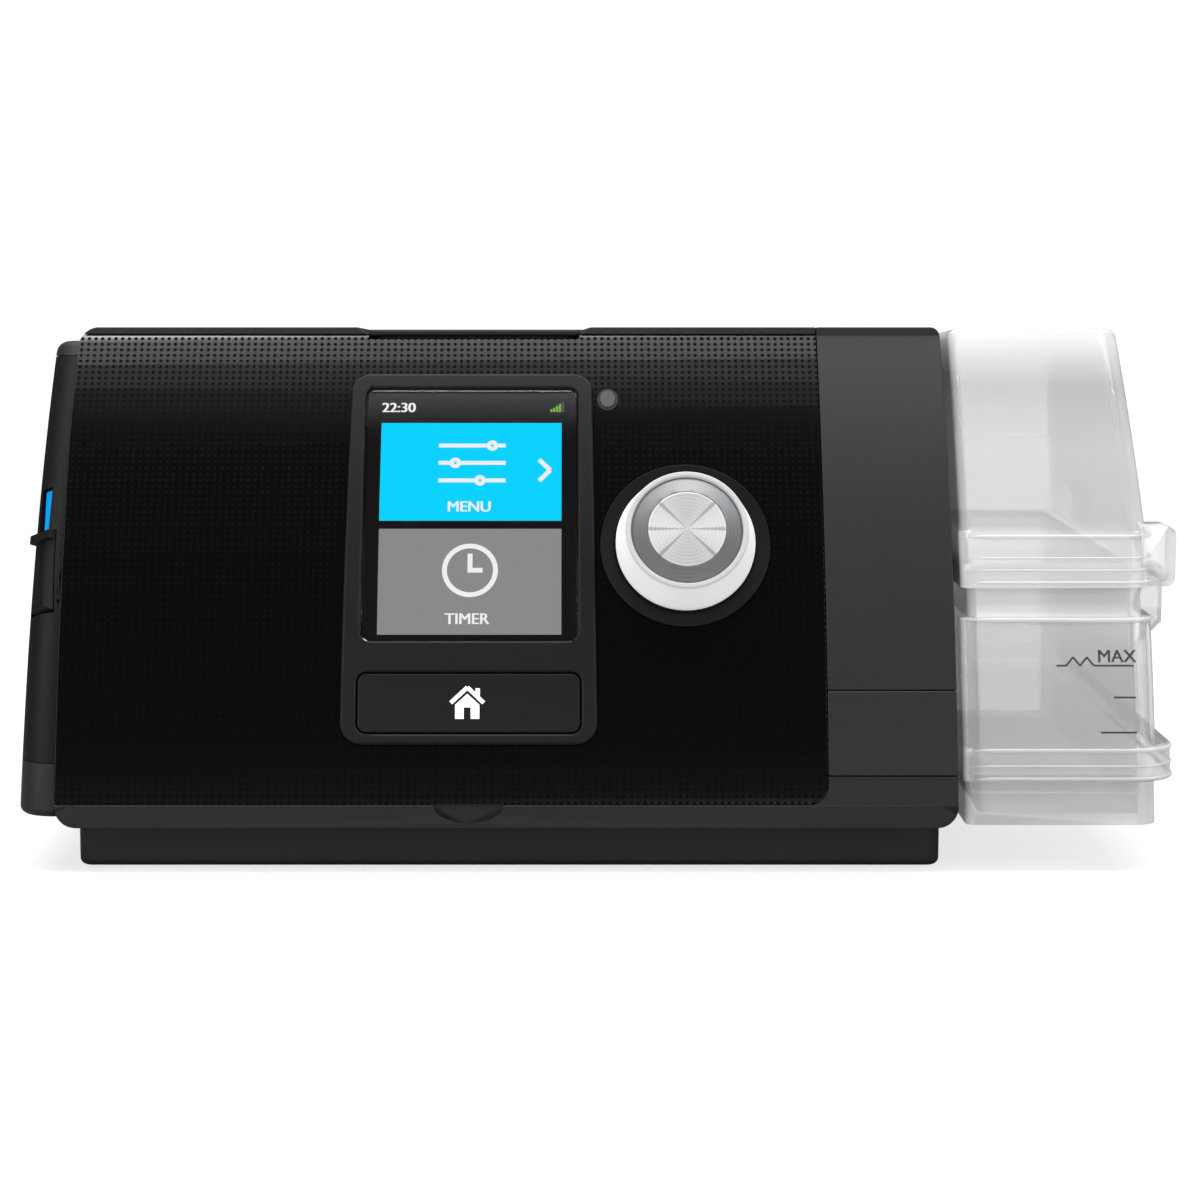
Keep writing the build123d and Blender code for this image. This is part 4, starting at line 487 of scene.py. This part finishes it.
recess_black = moulded("recess_black", (0.004, 0.004, 0.0045), 0.4, Specular_IOR_Level=0.2)
lens_grey = moulded("lens_grey", (0.055, 0.055, 0.058), 0.25)
white_shell = moulded("white_shell", (0.78, 0.78, 0.77), 0.4)
blue_plastic = moulded("blue_plastic", (0.0, 0.27, 0.72), 0.35, Specular_IOR_Level=0.25)
rubber_black = moulded("rubber_black", (0.02, 0.02, 0.02), 0.8, grain=0.8 * MM, depth=0.03 * MM)
soft_seal = moulded("soft_seal", (0.62, 0.65, 0.68), 0.55)
chip_black = moulded("chip_black", (0.015, 0.015, 0.016), 0.45)
board_green = moulded("board_green", (0.01, 0.09, 0.04), 0.4)
foam_grey = moulded("foam_grey", (0.09, 0.09, 0.095), 0.95, grain=1.2 * MM, depth=0.4 * MM)
filter_white = moulded("filter_white", (0.8, 0.8, 0.78), 0.95, grain=0.6 * MM, depth=0.2 * MM)
steel = metal("steel", (0.55, 0.55, 0.56), 0.3)
aluminium = metal("aluminium", (0.72, 0.72, 0.73), 0.35, (1.0, 12.0, 12.0))
gold = metal("gold", (0.85, 0.62, 0.25), 0.25)
copper = metal("copper", (0.72, 0.38, 0.2), 0.35, (1.0, 1.0, 8.0))
# heights above the table and the grey there: the plastic's own grey with painted light and shade, a painted
# highlight along the lid's top and painted shade just below it, and a darker band on the base below the fill line
TUB_TONE_AND_SHADE = ((0.0, 0.64), (26.5 * MM, 0.62), (27.5 * MM, 0.5), (44.3 * MM, 0.5), (44.7 * MM, 0.56),
             (54.0 * MM, 0.56), (54.6 * MM, 0.8))
LID_TONE_AND_SHADE = ((0.0, 0.78), (72.4 * MM, 0.76), (73.0 * MM, 0.62), (90.0 * MM, 0.62), (104.0 * MM, 0.48),
             (113.0 * MM, 0.72))
tub_clear = clear_plastic("tub_clear", TUB_TONE_AND_SHADE, 0.36, 0.85, 0.14)
lid_clear = clear_plastic("lid_clear", LID_TONE_AND_SHADE, 0.34, 0.85, 0.12)
# painted light: the rims turn lighter towards the top
rim_clear = clear_plastic("rim_clear", ((0.0, 0.68), (LIP_Z, 0.8)), 0.4, 0.85, 0.22)
cover_glass = Finish("cover_glass", (0.96, 0.97, 0.98), 0.03, Transmission_Weight=1.0, IOR=1.45)
display_dark = Finish("display_dark", (0.004, 0.004, 0.005), 0.3, Specular_IOR_Level=0.0)

dial_joint = next(j for j in frame["joints"] if j["name"] == "dial_turn")
DIAL_CENTRE = Vector(dial_joint["pos_m"])
DIAL_AXIS = Vector(dial_joint["axis"]).normalized()
dial_white = skirt_white(DIAL_CENTRE, DIAL_AXIS)
disc_metal = spun_disc("disc_metal", DIAL_CENTRE, DIAL_AXIS, (0.98, 0.98, 0.99), 0.8, True)
ring_metal = spun_disc("ring_metal", DIAL_CENTRE, DIAL_AXIS, (0.2, 0.205, 0.21), 0.75, False)


# ---------------------------------------------------------------- casing and controls
def dress_casing():
    """Every outer piece, with edges eased as far as its mould would round them."""
    eased("front_fascia", 0.1 * MM, gloss_face().material)
    eased("top_deck", 0.25 * MM, black_satin.material)
    eased("dock_cover", 0.25 * MM, column_grey.material)
    eased("dock_label_panel", 0.25 * MM, column_grey.material)
    eased("dock_frame", 0.0, column_grey.material)
    eased("side_panel_left", 0.0, charcoal_case.material)
    eased("side_cap_left", 0.0, cap_grey.material)
    eased("adapter_cover", 0.2 * MM, charcoal_case.material)
    eased("lower_case", 0.0, chin_black.material)
    eased("base_plinth", 0.3 * MM, plinth_black.material)
    eased("rear_case", 0.0, charcoal_case.material)
    eased("screen_bezel", 0.5 * MM, bezel_black.material)
    eased("home_button", 0.35 * MM, key_black.material)
    eased("start_button", 0.15 * MM, key_black.material)
    eased("dial_ring", 0.1 * MM, recess_black.material)
    eased("dial_skirt", 0.25 * MM, dial_white.material)
    eased("dial_cap", 0.1 * MM, ring_metal.material)
    eased("dial_disc", 0.1 * MM, disc_metal.material)
    eased("sd_door", 0.12 * MM, charcoal_case.material)
    eased("sd_card", 0.12 * MM, blue_plastic.material)
    eased("screen_glass", 0.1 * MM, cover_glass.material)
    eased("lcd_module", 0.0, display_dark.material)
    eased("light_sensor", 0.2 * MM, lens_grey.material)
    eased("filter_cover", 0.2 * MM, charcoal_case.material)
    eased("retention_clip", 0.2 * MM, charcoal_case.material)
    eased("air_outlet", 0.2 * MM, white_shell.material)
    eased("power_inlet", 0.2 * MM, black_satin.material)


def dress_tub():
    """Clear base and lid, with their plate, pins and seal."""
    eased("tub_base", 0.0, tub_clear.material)
    eased("tub_lid", 0.0, lid_clear.material)
    eased("tub_plate", 0.0, aluminium.material)
    eased("tub_hinge_pins", 0.0, white_shell.material)
    eased("tub_seal", 0.0, soft_seal.material)


INNER_FINISHES = {
    "rubber_feet": rubber_black, "plinth_screws": steel, "sd_socket": steel, "dial_shaft": steel,
    "dial_plunger": white_shell, "encoder_body": chip_black, "start_switch": board_green,
    "main_board": board_green, "board_parts": chip_black, "board_screws": steel, "power_board": board_green,
    "filter_pad": filter_white, "blower_housing_lower": white_shell, "blower_housing_upper": white_shell,
    "blower_mounts": soft_seal, "impeller": white_shell, "motor_shaft": steel, "motor_stator": copper,
    "motor_bearings": steel, "blower_duct": soft_seal, "port_seals": soft_seal, "outlet_duct": white_shell,
    "tube_contacts": gold, "inlet_muffler": white_shell, "muffler_foam": foam_grey,
    "heater_plate": aluminium, "heater_insulator": foam_grey,
}


def dress_inside():
    """Finish for each piece inside the casing, on the CAD node itself."""
    for node, finish in INNER_FINISHES.items():
        mesh = frame["nodes"][node].data
        mesh.materials.clear()
        mesh.materials.append(finish.material)


# ---------------------------------------------------------------- flat marks
CAPITAL_SHARE = 0.73         # height of a capital letter, as a share of the font's size
LETTER_STRIPS = 8


def band(path, width):
    """Flat strip along a path of points (u, v).

    Each point is moved half the width to both sides, square to the path.
    """
    path = np.asarray(path, float)
    along = np.gradient(path, axis=0)
    along /= np.linalg.norm(along, axis=1, keepdims=True)
    side = np.stack([along[:, 1], -along[:, 0]], axis=1) * width / 2
    return np.stack([path + side, path - side], axis=0)


def line(start, end, count=8):
    """Points evenly along a straight line."""
    t = np.linspace(0, 1, count)[:, None]
    return np.asarray(start) * (1 - t) + np.asarray(end) * t


def round_spot(centre, radius, inner=0.0, count=32):
    """Disc or ring: radius from inner to radius, angle all the way round."""
    angle = np.linspace(0, -2 * pi, count + 1)
    ring = np.stack([np.cos(angle), np.sin(angle)], axis=1)
    return np.stack([np.asarray(centre) + ring * r for r in (radius, inner)], axis=0)


def sheet_between(left, right, low, high, rows=12):
    """Rectangle as a grid of rows up the face."""
    x, s = np.meshgrid(np.linspace(left, right, 3), np.linspace(low, high, rows))
    return np.stack([x, s], axis=-1)


def carried(piece, body):
    """Lets a new piece ride on a body."""
    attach(piece, body)
    return piece


def laid(name, shapes, out, material, body, surface=on_face):
    """Flat shapes (rows, columns, 2) laid a distance in front of a surface, as one piece."""
    parts = [grid_mesh(name, surface(s[..., 0], s[..., 1], out), material) for s in shapes]
    return carried(joined(name, parts), body)


def word(name, text, height, left, low, out, material, body, slot, weight=0.0):
    """Word in flat letters, cut into low strips so that it follows the face, then laid on it.

    A weight makes the strokes thicker: the letters are laid again that far to the right.
    """
    curve = bpy.data.curves.new(name, "FONT")
    curve.body = text
    curve.size = height / CAPITAL_SHARE
    source = link(name, curve)
    mesh = bpy.data.meshes.new_from_object(source)
    bpy.data.objects.remove(source)
    work = bmesh.new()
    work.from_mesh(mesh)
    for k in range(1, LETTER_STRIPS):
        cut = work.verts[:] + work.edges[:] + work.faces[:]
        level = (0, height * k / LETTER_STRIPS, 0)
        bmesh.ops.bisect_plane(work, geom=cut, plane_co=level, plane_no=(0, 1, 0))
    work.to_mesh(mesh)
    work.free()
    flat = np.empty(len(mesh.vertices) * 3)
    mesh.vertices.foreach_get("co", flat)
    flat = flat.reshape(-1, 3)
    start = left - flat[:, 0].min()
    mesh.materials.clear()
    mesh.materials.append(material)
    copies = []
    for shift in (0.0, weight * height) if weight else (0.0,):
        letters = mesh.copy()
        # the second copy lies a hair further out, so that the two don't share a surface
        points = on_face(start + shift + flat[:, 0], low + flat[:, 1], out + shift * 0.01)
        letters.vertices.foreach_set("co", points.ravel())
        copies.append(link(name, letters))
    return carried(joined(name, copies), body)


# ---------------------------------------------------------------- display
def sliders(centre, width, spacing, weight):
    """Three bars, each with a round knob at its own place."""
    shapes = []
    for row, knob in zip((1, 0, -1), (0.30, -0.25, 0.12)):
        at = (centre[0] + knob * width, centre[1] + row * spacing)
        left, right = centre[0] - width / 2, centre[0] + width / 2
        reach = spacing * 0.30
        shapes.append(band(line((left, at[1]), (at[0] - reach, at[1])), weight))
        shapes.append(band(line((at[0] + reach, at[1]), (right, at[1])), weight))
        shapes.append(round_spot(at, reach, reach - weight))
    return shapes


def clock(centre, radius, weight):
    """Ring with two hands."""
    x, s = centre
    hands = [band(line((x, s - weight / 2), (x, s + radius * 0.62)), weight),
             band(line((x - weight / 2, s), (x + radius * 0.45, s)), weight)]
    return [round_spot(centre, radius, radius - weight), *hands]


def signal_bar(middle, height):
    """Upright bar of the signal sign, on the header's line."""
    return sheet_between(middle - SIGNAL_HALF, middle + SIGNAL_HALF, HEADER_LOW, HEADER_LOW + height, 2)


def display():
    """Dark panel with a painted reflection that brightens it towards its top, two tiles and their marks, glowing
    under the glass.
    """
    panel = Finish("display_panel", (0.003, 0.003, 0.0035), 0.4, Specular_IOR_Level=0.0,
                   Emission_Strength=1.0)
    # painted reflection: glow that rises towards the panel's top, standing in for the cover glass reflecting the
    # light above
    glow = panel.ranged(panel.part(panel.place, "Z"), 0.0, 1.0, REFLECTION_FOOT_Z, REFLECTION_TOP_Z)
    panel.tint(panel.math("POWER", glow, 2.0), (0.004, 0.003, 0.003), (0.052, 0.052, 0.056), "Emission Color")
    white = lit("display_white", (1.0, 1.0, 1.0), 0.95).material
    cyan = lit("display_cyan", (0.0, 0.64, 1.0), 1.1).material
    grey = lit("display_grey", (0.25, 0.25, 0.25), 1.1).material
    green = lit("display_green", (0.25, 0.62, 0.08), 0.8).material
    dim = lit("display_dim", (0.1, 0.1, 0.1), 1.0).material
    whole = sheet_between(SCREEN_X - PANEL_HALF, SCREEN_X + PANEL_HALF, *PANEL_ENDS, 16)
    laid("display_panel", [whole], PANEL_DEPTH, panel.material, "root")
    tiles = (("menu_tile", MENU_TILE, cyan), ("night_tile", NIGHT_TILE, grey))
    for name, ends, material in tiles:
        laid(name, [sheet_between(TILE_LEFT, TILE_RIGHT, *ends)], TILE_DEPTH, material, "root")
    top = TILE_DEPTH + MARK_RISE
    word("clock_word", "22:30", HEADER_HEIGHT, TILE_LEFT, HEADER_LOW, top, white, "root", "display", 0.09)
    menu = sliders(MENU_MARK, 15.0 * MM, 4.3 * MM, 0.95 * MM)
    laid("menu_mark", menu, top, white, "root")
    word("menu_word", "MENU", LABEL_HEIGHT, *MENU_WORD, top, white, "root", "display", 0.07)
    arrow = [(NEXT_BACK, NEXT_TIP[1] + NEXT_HALF), NEXT_TIP, (NEXT_BACK, NEXT_TIP[1] - NEXT_HALF)]
    strokes = [band(line(a, b), 1.0 * MM) for a, b in zip(arrow, arrow[1:])]
    laid("next_mark", strokes, top, white, "root")
    laid("night_mark", clock(NIGHT_MARK, 6.2 * MM, 1.1 * MM), top, white, "root")
    word("night_word", "TIMER", LABEL_HEIGHT, *NIGHT_WORD, top, white, "root", "display", 0.07)
    laid("signal_bars", [signal_bar(*bar) for bar in SIGNAL_BARS], top, green, "root")
    laid("signal_rest", [signal_bar(*SIGNAL_REST)], top, dim, "root")


def sensor_gap_shade():
    """Black oval round the light sensor, a painted shadow in the gap round its lens: two ellipses about its
    middle, joined.
    """
    low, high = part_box("light_sensor")
    middle = ((low.x + high.x) / 2, SENSOR_ARC)
    angle = np.linspace(0, -2 * pi, 41)
    oval = np.stack([np.cos(angle), np.sin(angle)], axis=1)
    ring = np.stack([np.asarray(middle) + oval * half for half in (SENSOR_SHADE_HALF, SENSOR_HALF)], axis=0)
    black = Finish("sensor_shade_black", (0.001, 0.001, 0.001), 0.3)
    laid("sensor_gap_shade", [ring], MARK_RISE, black.material, "root")


def key_marks():
    """House on the wide key, and on the start key the standby sign: an open ring with a bar."""
    # painted glow: the white print gives off a faint light of its own, to brighten it
    ink = Finish("white_ink", (0.9, 0.9, 0.9), 0.5, Emission_Color=(1.0, 1.0, 1.0, 1.0),
                 Emission_Strength=0.25)
    x, s = SCREEN_X - 0.3 * MM, 22.2 * MM
    eave, ridge, wall_out = 3.6 * MM, 3.3 * MM, 2.65 * MM
    roof = [band(line((x - eave, s - 0.1 * MM), (x, s + ridge)), 0.9 * MM),
            band(line((x, s + ridge), (x + eave, s - 0.1 * MM)), 0.9 * MM)]
    loft_low, loft_high = s - 1.1 * MM, s + 1.9 * MM
    lofts = [np.stack([line((x - wall_out, s - 0.5 * MM), (x, loft_high)),
                       line((x - wall_out, loft_low), (x, loft_low))]),
             np.stack([line((x, loft_high), (x + wall_out, s - 0.5 * MM)),
                       line((x, loft_low), (x + wall_out, loft_low))])]
    door, foot = 0.75 * MM, s - 3.6 * MM
    walls = [sheet_between(x - wall_out, x - door, foot, loft_low, 3),
             sheet_between(x + door, x + wall_out, foot, loft_low, 3)]
    chimney = sheet_between(x + 1.8 * MM, x + 2.75 * MM, s + 1.5 * MM, s + 3.1 * MM, 3)
    house = [*roof, *lofts, *walls, chimney]
    laid("house_mark", house, HOME_MARK_OUT, ink.material, "home_button")
    grey = Finish("grey_ink", (0.35, 0.35, 0.35), 0.5)
    opening = radians(32.0)
    angle = np.linspace(pi / 2 - opening, pi / 2 + opening - 2 * pi, 40)
    radius, stroke = 2.4 * MM, 0.55 * MM
    ring = np.stack([np.cos(angle), np.sin(angle)], axis=1) * radius + (START_X, START_MIDDLE)
    bar = line((START_X, START_MIDDLE + 0.6 * MM), (START_X, START_MIDDLE + 3.0 * MM))
    standby = [band(ring, stroke), band(bar, stroke)]
    laid("standby_mark", standby, START_TOP, grey.material, "start_button", on_deck)


# ---------------------------------------------------------------- tub rims and marks
def rod(name, path, radius, up, material):
    """Round rod along a 3-D path, pointed at both ends.

    Its section is centre + r (cos a side - sin a other), with side = tangent x up, other = side x tangent.
    """
    along = np.gradient(path, axis=0)
    along /= np.linalg.norm(along, axis=1, keepdims=True)
    side = np.cross(along, up)
    side /= np.linalg.norm(side, axis=1, keepdims=True)
    other = np.cross(side, along)
    angle = np.linspace(0, 2 * pi, ROD_SIDES, endpoint=False)[None, :, None]
    size = np.full(len(path), radius)
    size[[0, -1]] = 0.0
    section = np.cos(angle) * side[:, None] - np.sin(angle) * other[:, None]
    piece = grid_mesh(name, path[:, None] + section * size[:, None, None], material, closed=True)
    work = bmesh.new()
    work.from_mesh(piece.data)
    bmesh.ops.remove_doubles(work, verts=work.verts, dist=1e-7)
    work.to_mesh(piece.data)
    work.free()
    return piece


def rim_path(left, right, corner, z, out, depth):
    """Way round the tub at one height.

    It runs along the front, round a quarter arc at the right corner and back along the side.
    """
    front = on_face(np.array(0.0), np.array(arc_at(z, out)), out)[1]
    turn = np.linspace(-pi / 2, 0, 9)
    bend = np.stack([right - corner + corner * np.cos(turn), front + corner + corner * np.sin(turn)], axis=1)
    flat = np.concatenate([line((left, front), (right - corner, front))[:-1], bend,
                           line((right, front + corner), (right, front + depth))[1:]])
    return np.column_stack([flat, np.full(len(flat), z)])


def tub_rims():
    """Moulded rims: shoulder, flange and corner of the base, two edges and two ribs of the lid's band."""
    clear = rim_clear.material
    upright = (0.0, 0.0, 1.0)
    shoulder = rim_path(WALL_LEFT, WALL_RIGHT, SHOULDER_BEND, SHOULDER_Z, -TUB_STEP, SHOULDER_DEPTH)
    base = [rod("tub_rims", shoulder, SHOULDER_ROD, upright, clear)]
    for z, radius in FLANGE_RIMS:
        path = rim_path(WALL_LEFT, FLANGE_RIGHT, FLANGE_BEND, z, -FLANGE_STEP, FLANGE_DEPTH)
        base.append(rod("tub_rims", path, radius, upright, clear))
    corner = np.array([on_face(np.array(WALL_CORNER_X), np.array(arc_at(z, -TUB_STEP)), -TUB_STEP)
                       for z in CORNER_HEIGHTS])
    corner[:, 1] += CORNER_BACK
    base.append(rod("tub_rims", corner, CORNER_ROD, (1.0, 0.0, 0.0), clear))
    carried(joined("tub_rims", base), "tub")
    lid = []
    for z, radius in BAND_RIMS:
        path = rim_path(BAND_LEFT, BAND_RIGHT, BAND_BEND, z, -BAND_STEP, BAND_DEPTH)
        lid.append(rod("lid_rims", path, radius, upright, clear))
    carried(joined("lid_rims", lid), "tub_lid")


def level_marks():
    """Printed fill line with its two waves, the word over it and two lower marks."""
    ink = Finish("level_ink", (0.03, 0.03, 0.03), 0.5).material
    out = -TUB_STEP + INK_RISE
    base = arc_at(MAX_LEVEL_Z, out)
    waves = [(100.0, 0.0), (102.2, 0.0), (103.7, 1.9), (105.2, 0.0), (106.7, 1.9), (108.2, 0.0), (116.9, 0.0)]
    points = [(x * MM, base + s * MM) for x, s in waves]
    shapes = [band(line(a, b), LEVEL_LINE) for a, b in zip(points, points[1:])]
    for z, start in LOW_MARKS:
        s = arc_at(z, out)
        shapes.append(band(line((start, s), (LEVEL_RIGHT_X, s)), LEVEL_LINE))
    laid("level_lines", shapes, out, ink, "tub")
    word("level_word", "MAX", 2.9 * MM, 109.2 * MM, base + 0.8 * MM, out, ink, "tub", "dark_grey", 0.04)


# ---------------------------------------------------------------- studio
FLOOR_HALF = 3.0             # in metres, as all lengths of the studio
FLOOR_OPACITY = 0.3
FLOOR_FADE = (0.25, 0.8)     # distances between which the floor fades out
SURROUND_LIGHT = 0.06        # the white surround as a light, and as the camera sees it
SURROUND_SEEN = 1.05
OVERHEAD_Z = 0.85
OVERHEAD_Y = 0.15
OVERHEAD_FRONT = -0.235
OVERHEAD_WIDTH = 1.5
OVERHEAD_POWER = 18.3
# depth and glow of each strip, from rear to front: a bright line, then a slow fade
FRONT_STRIPS = ((0.031, 21.0), (0.019, 0.8), *((0.02, 0.85 * (1 - k / 11) ** 1.4) for k in range(10)))
BODY_MIDDLE = (0, 0, 0.06)
WHITE = (1.0, 1.0, 1.0)
WARM = (1.0, 0.97, 0.93)
COOL = (0.9, 0.96, 1.0)
EYE = (-6.5 * MM, -683.9 * MM, 140.3 * MM)
EYE_TILT = 7.5               # degrees down from level


def studio():
    """Pale floor that fades out, a white surround and soft lights."""
    points = np.array([[[-1, -1, 0], [1, -1, 0]], [[-1, 1, 0], [1, 1, 0]]], float) * FLOOR_HALF
    paper = Finish("floor_paper", (0.9, 0.9, 0.9), 0.8)
    reach = paper.add("ShaderNodeVectorMath", operation="LENGTH")
    paper.join(paper.place, reach.inputs[0])
    fade = paper.ranged(reach.outputs["Value"], FLOOR_OPACITY, 0.0, *FLOOR_FADE)
    paper.join(fade, paper.shader.inputs["Alpha"])
    floor = grid_mesh("floor", points, paper.material)

    world = bpy.data.worlds.new("studio_world")
    bpy.context.scene.world = world
    world.use_nodes = True
    tree = world.node_tree
    background = tree.nodes["Background"]
    path = tree.nodes.new("ShaderNodeLightPath")
    strength = tree.nodes.new("ShaderNodeMapRange")
    strength.inputs["To Min"].default_value = SURROUND_LIGHT
    strength.inputs["To Max"].default_value = SURROUND_SEEN
    tree.links.new(path.outputs["Is Camera Ray"], strength.inputs["Value"])
    tree.links.new(strength.outputs["Result"], background.inputs["Strength"])
    background.inputs["Color"].default_value = (1, 1, 1, 1)

    depth = 2 * (OVERHEAD_Y - OVERHEAD_FRONT)
    place = (0.0, OVERHEAD_Y, OVERHEAD_Z)
    soft_light("overhead", place, (0, OVERHEAD_Y, 0), OVERHEAD_WIDTH, depth, OVERHEAD_POWER, WHITE)
    near = OVERHEAD_FRONT
    for k, (depth, glow) in enumerate(FRONT_STRIPS):
        y = near - depth / 2
        power = glow * pi * OVERHEAD_WIDTH * depth
        soft_light(f"front_strip_{k}", (0.0, y, OVERHEAD_Z), (0, y, 0), OVERHEAD_WIDTH, depth, power, WHITE)
        near -= depth
    soft_light("left_key", (-0.85, -0.55, 0.45), BODY_MIDDLE, 0.5, 0.6, 5.5, WARM)
    soft_light("right_key", (0.95, -0.55, 0.45), BODY_MIDDLE, 0.5, 0.6, 5.0, COOL)
    soft_light("front_low", (0.0, -1.2, 0.09), BODY_MIDDLE, 1.6, 0.14, 5.0, WHITE)


def soft_light(name, place, target, width, height, power, color):
    """Soft box at a place, facing a target."""
    data = bpy.data.lights.new(name, "AREA")
    data.shape = "RECTANGLE"
    data.size, data.size_y = width, height
    data.energy = power
    data.color = color
    lamp = link(name, data)
    lamp.location = place
    lamp.rotation_euler = (Vector(target) - Vector(place)).to_track_quat("-Z", "Y").to_euler()
    lamp.visible_camera = False


def camera():
    """Long lens a little above the deck, tilted down, its frame shifted slightly sideways."""
    data = bpy.data.cameras.new("camera")
    data.sensor_width = 36.0
    data.lens = 85.6
    data.shift_x = 0.025
    eye = link("camera", data)
    eye.location = EYE
    eye.rotation_euler = (radians(90.0 - EYE_TILT), 0.0, 0.0)
    bpy.context.scene.camera = eye


dress_casing()
dress_tub()
dress_inside()
display()
sensor_gap_shade()
key_marks()
tub_rims()
level_marks()
studio()
camera()
bpy.context.scene.view_settings.view_transform = "Standard"
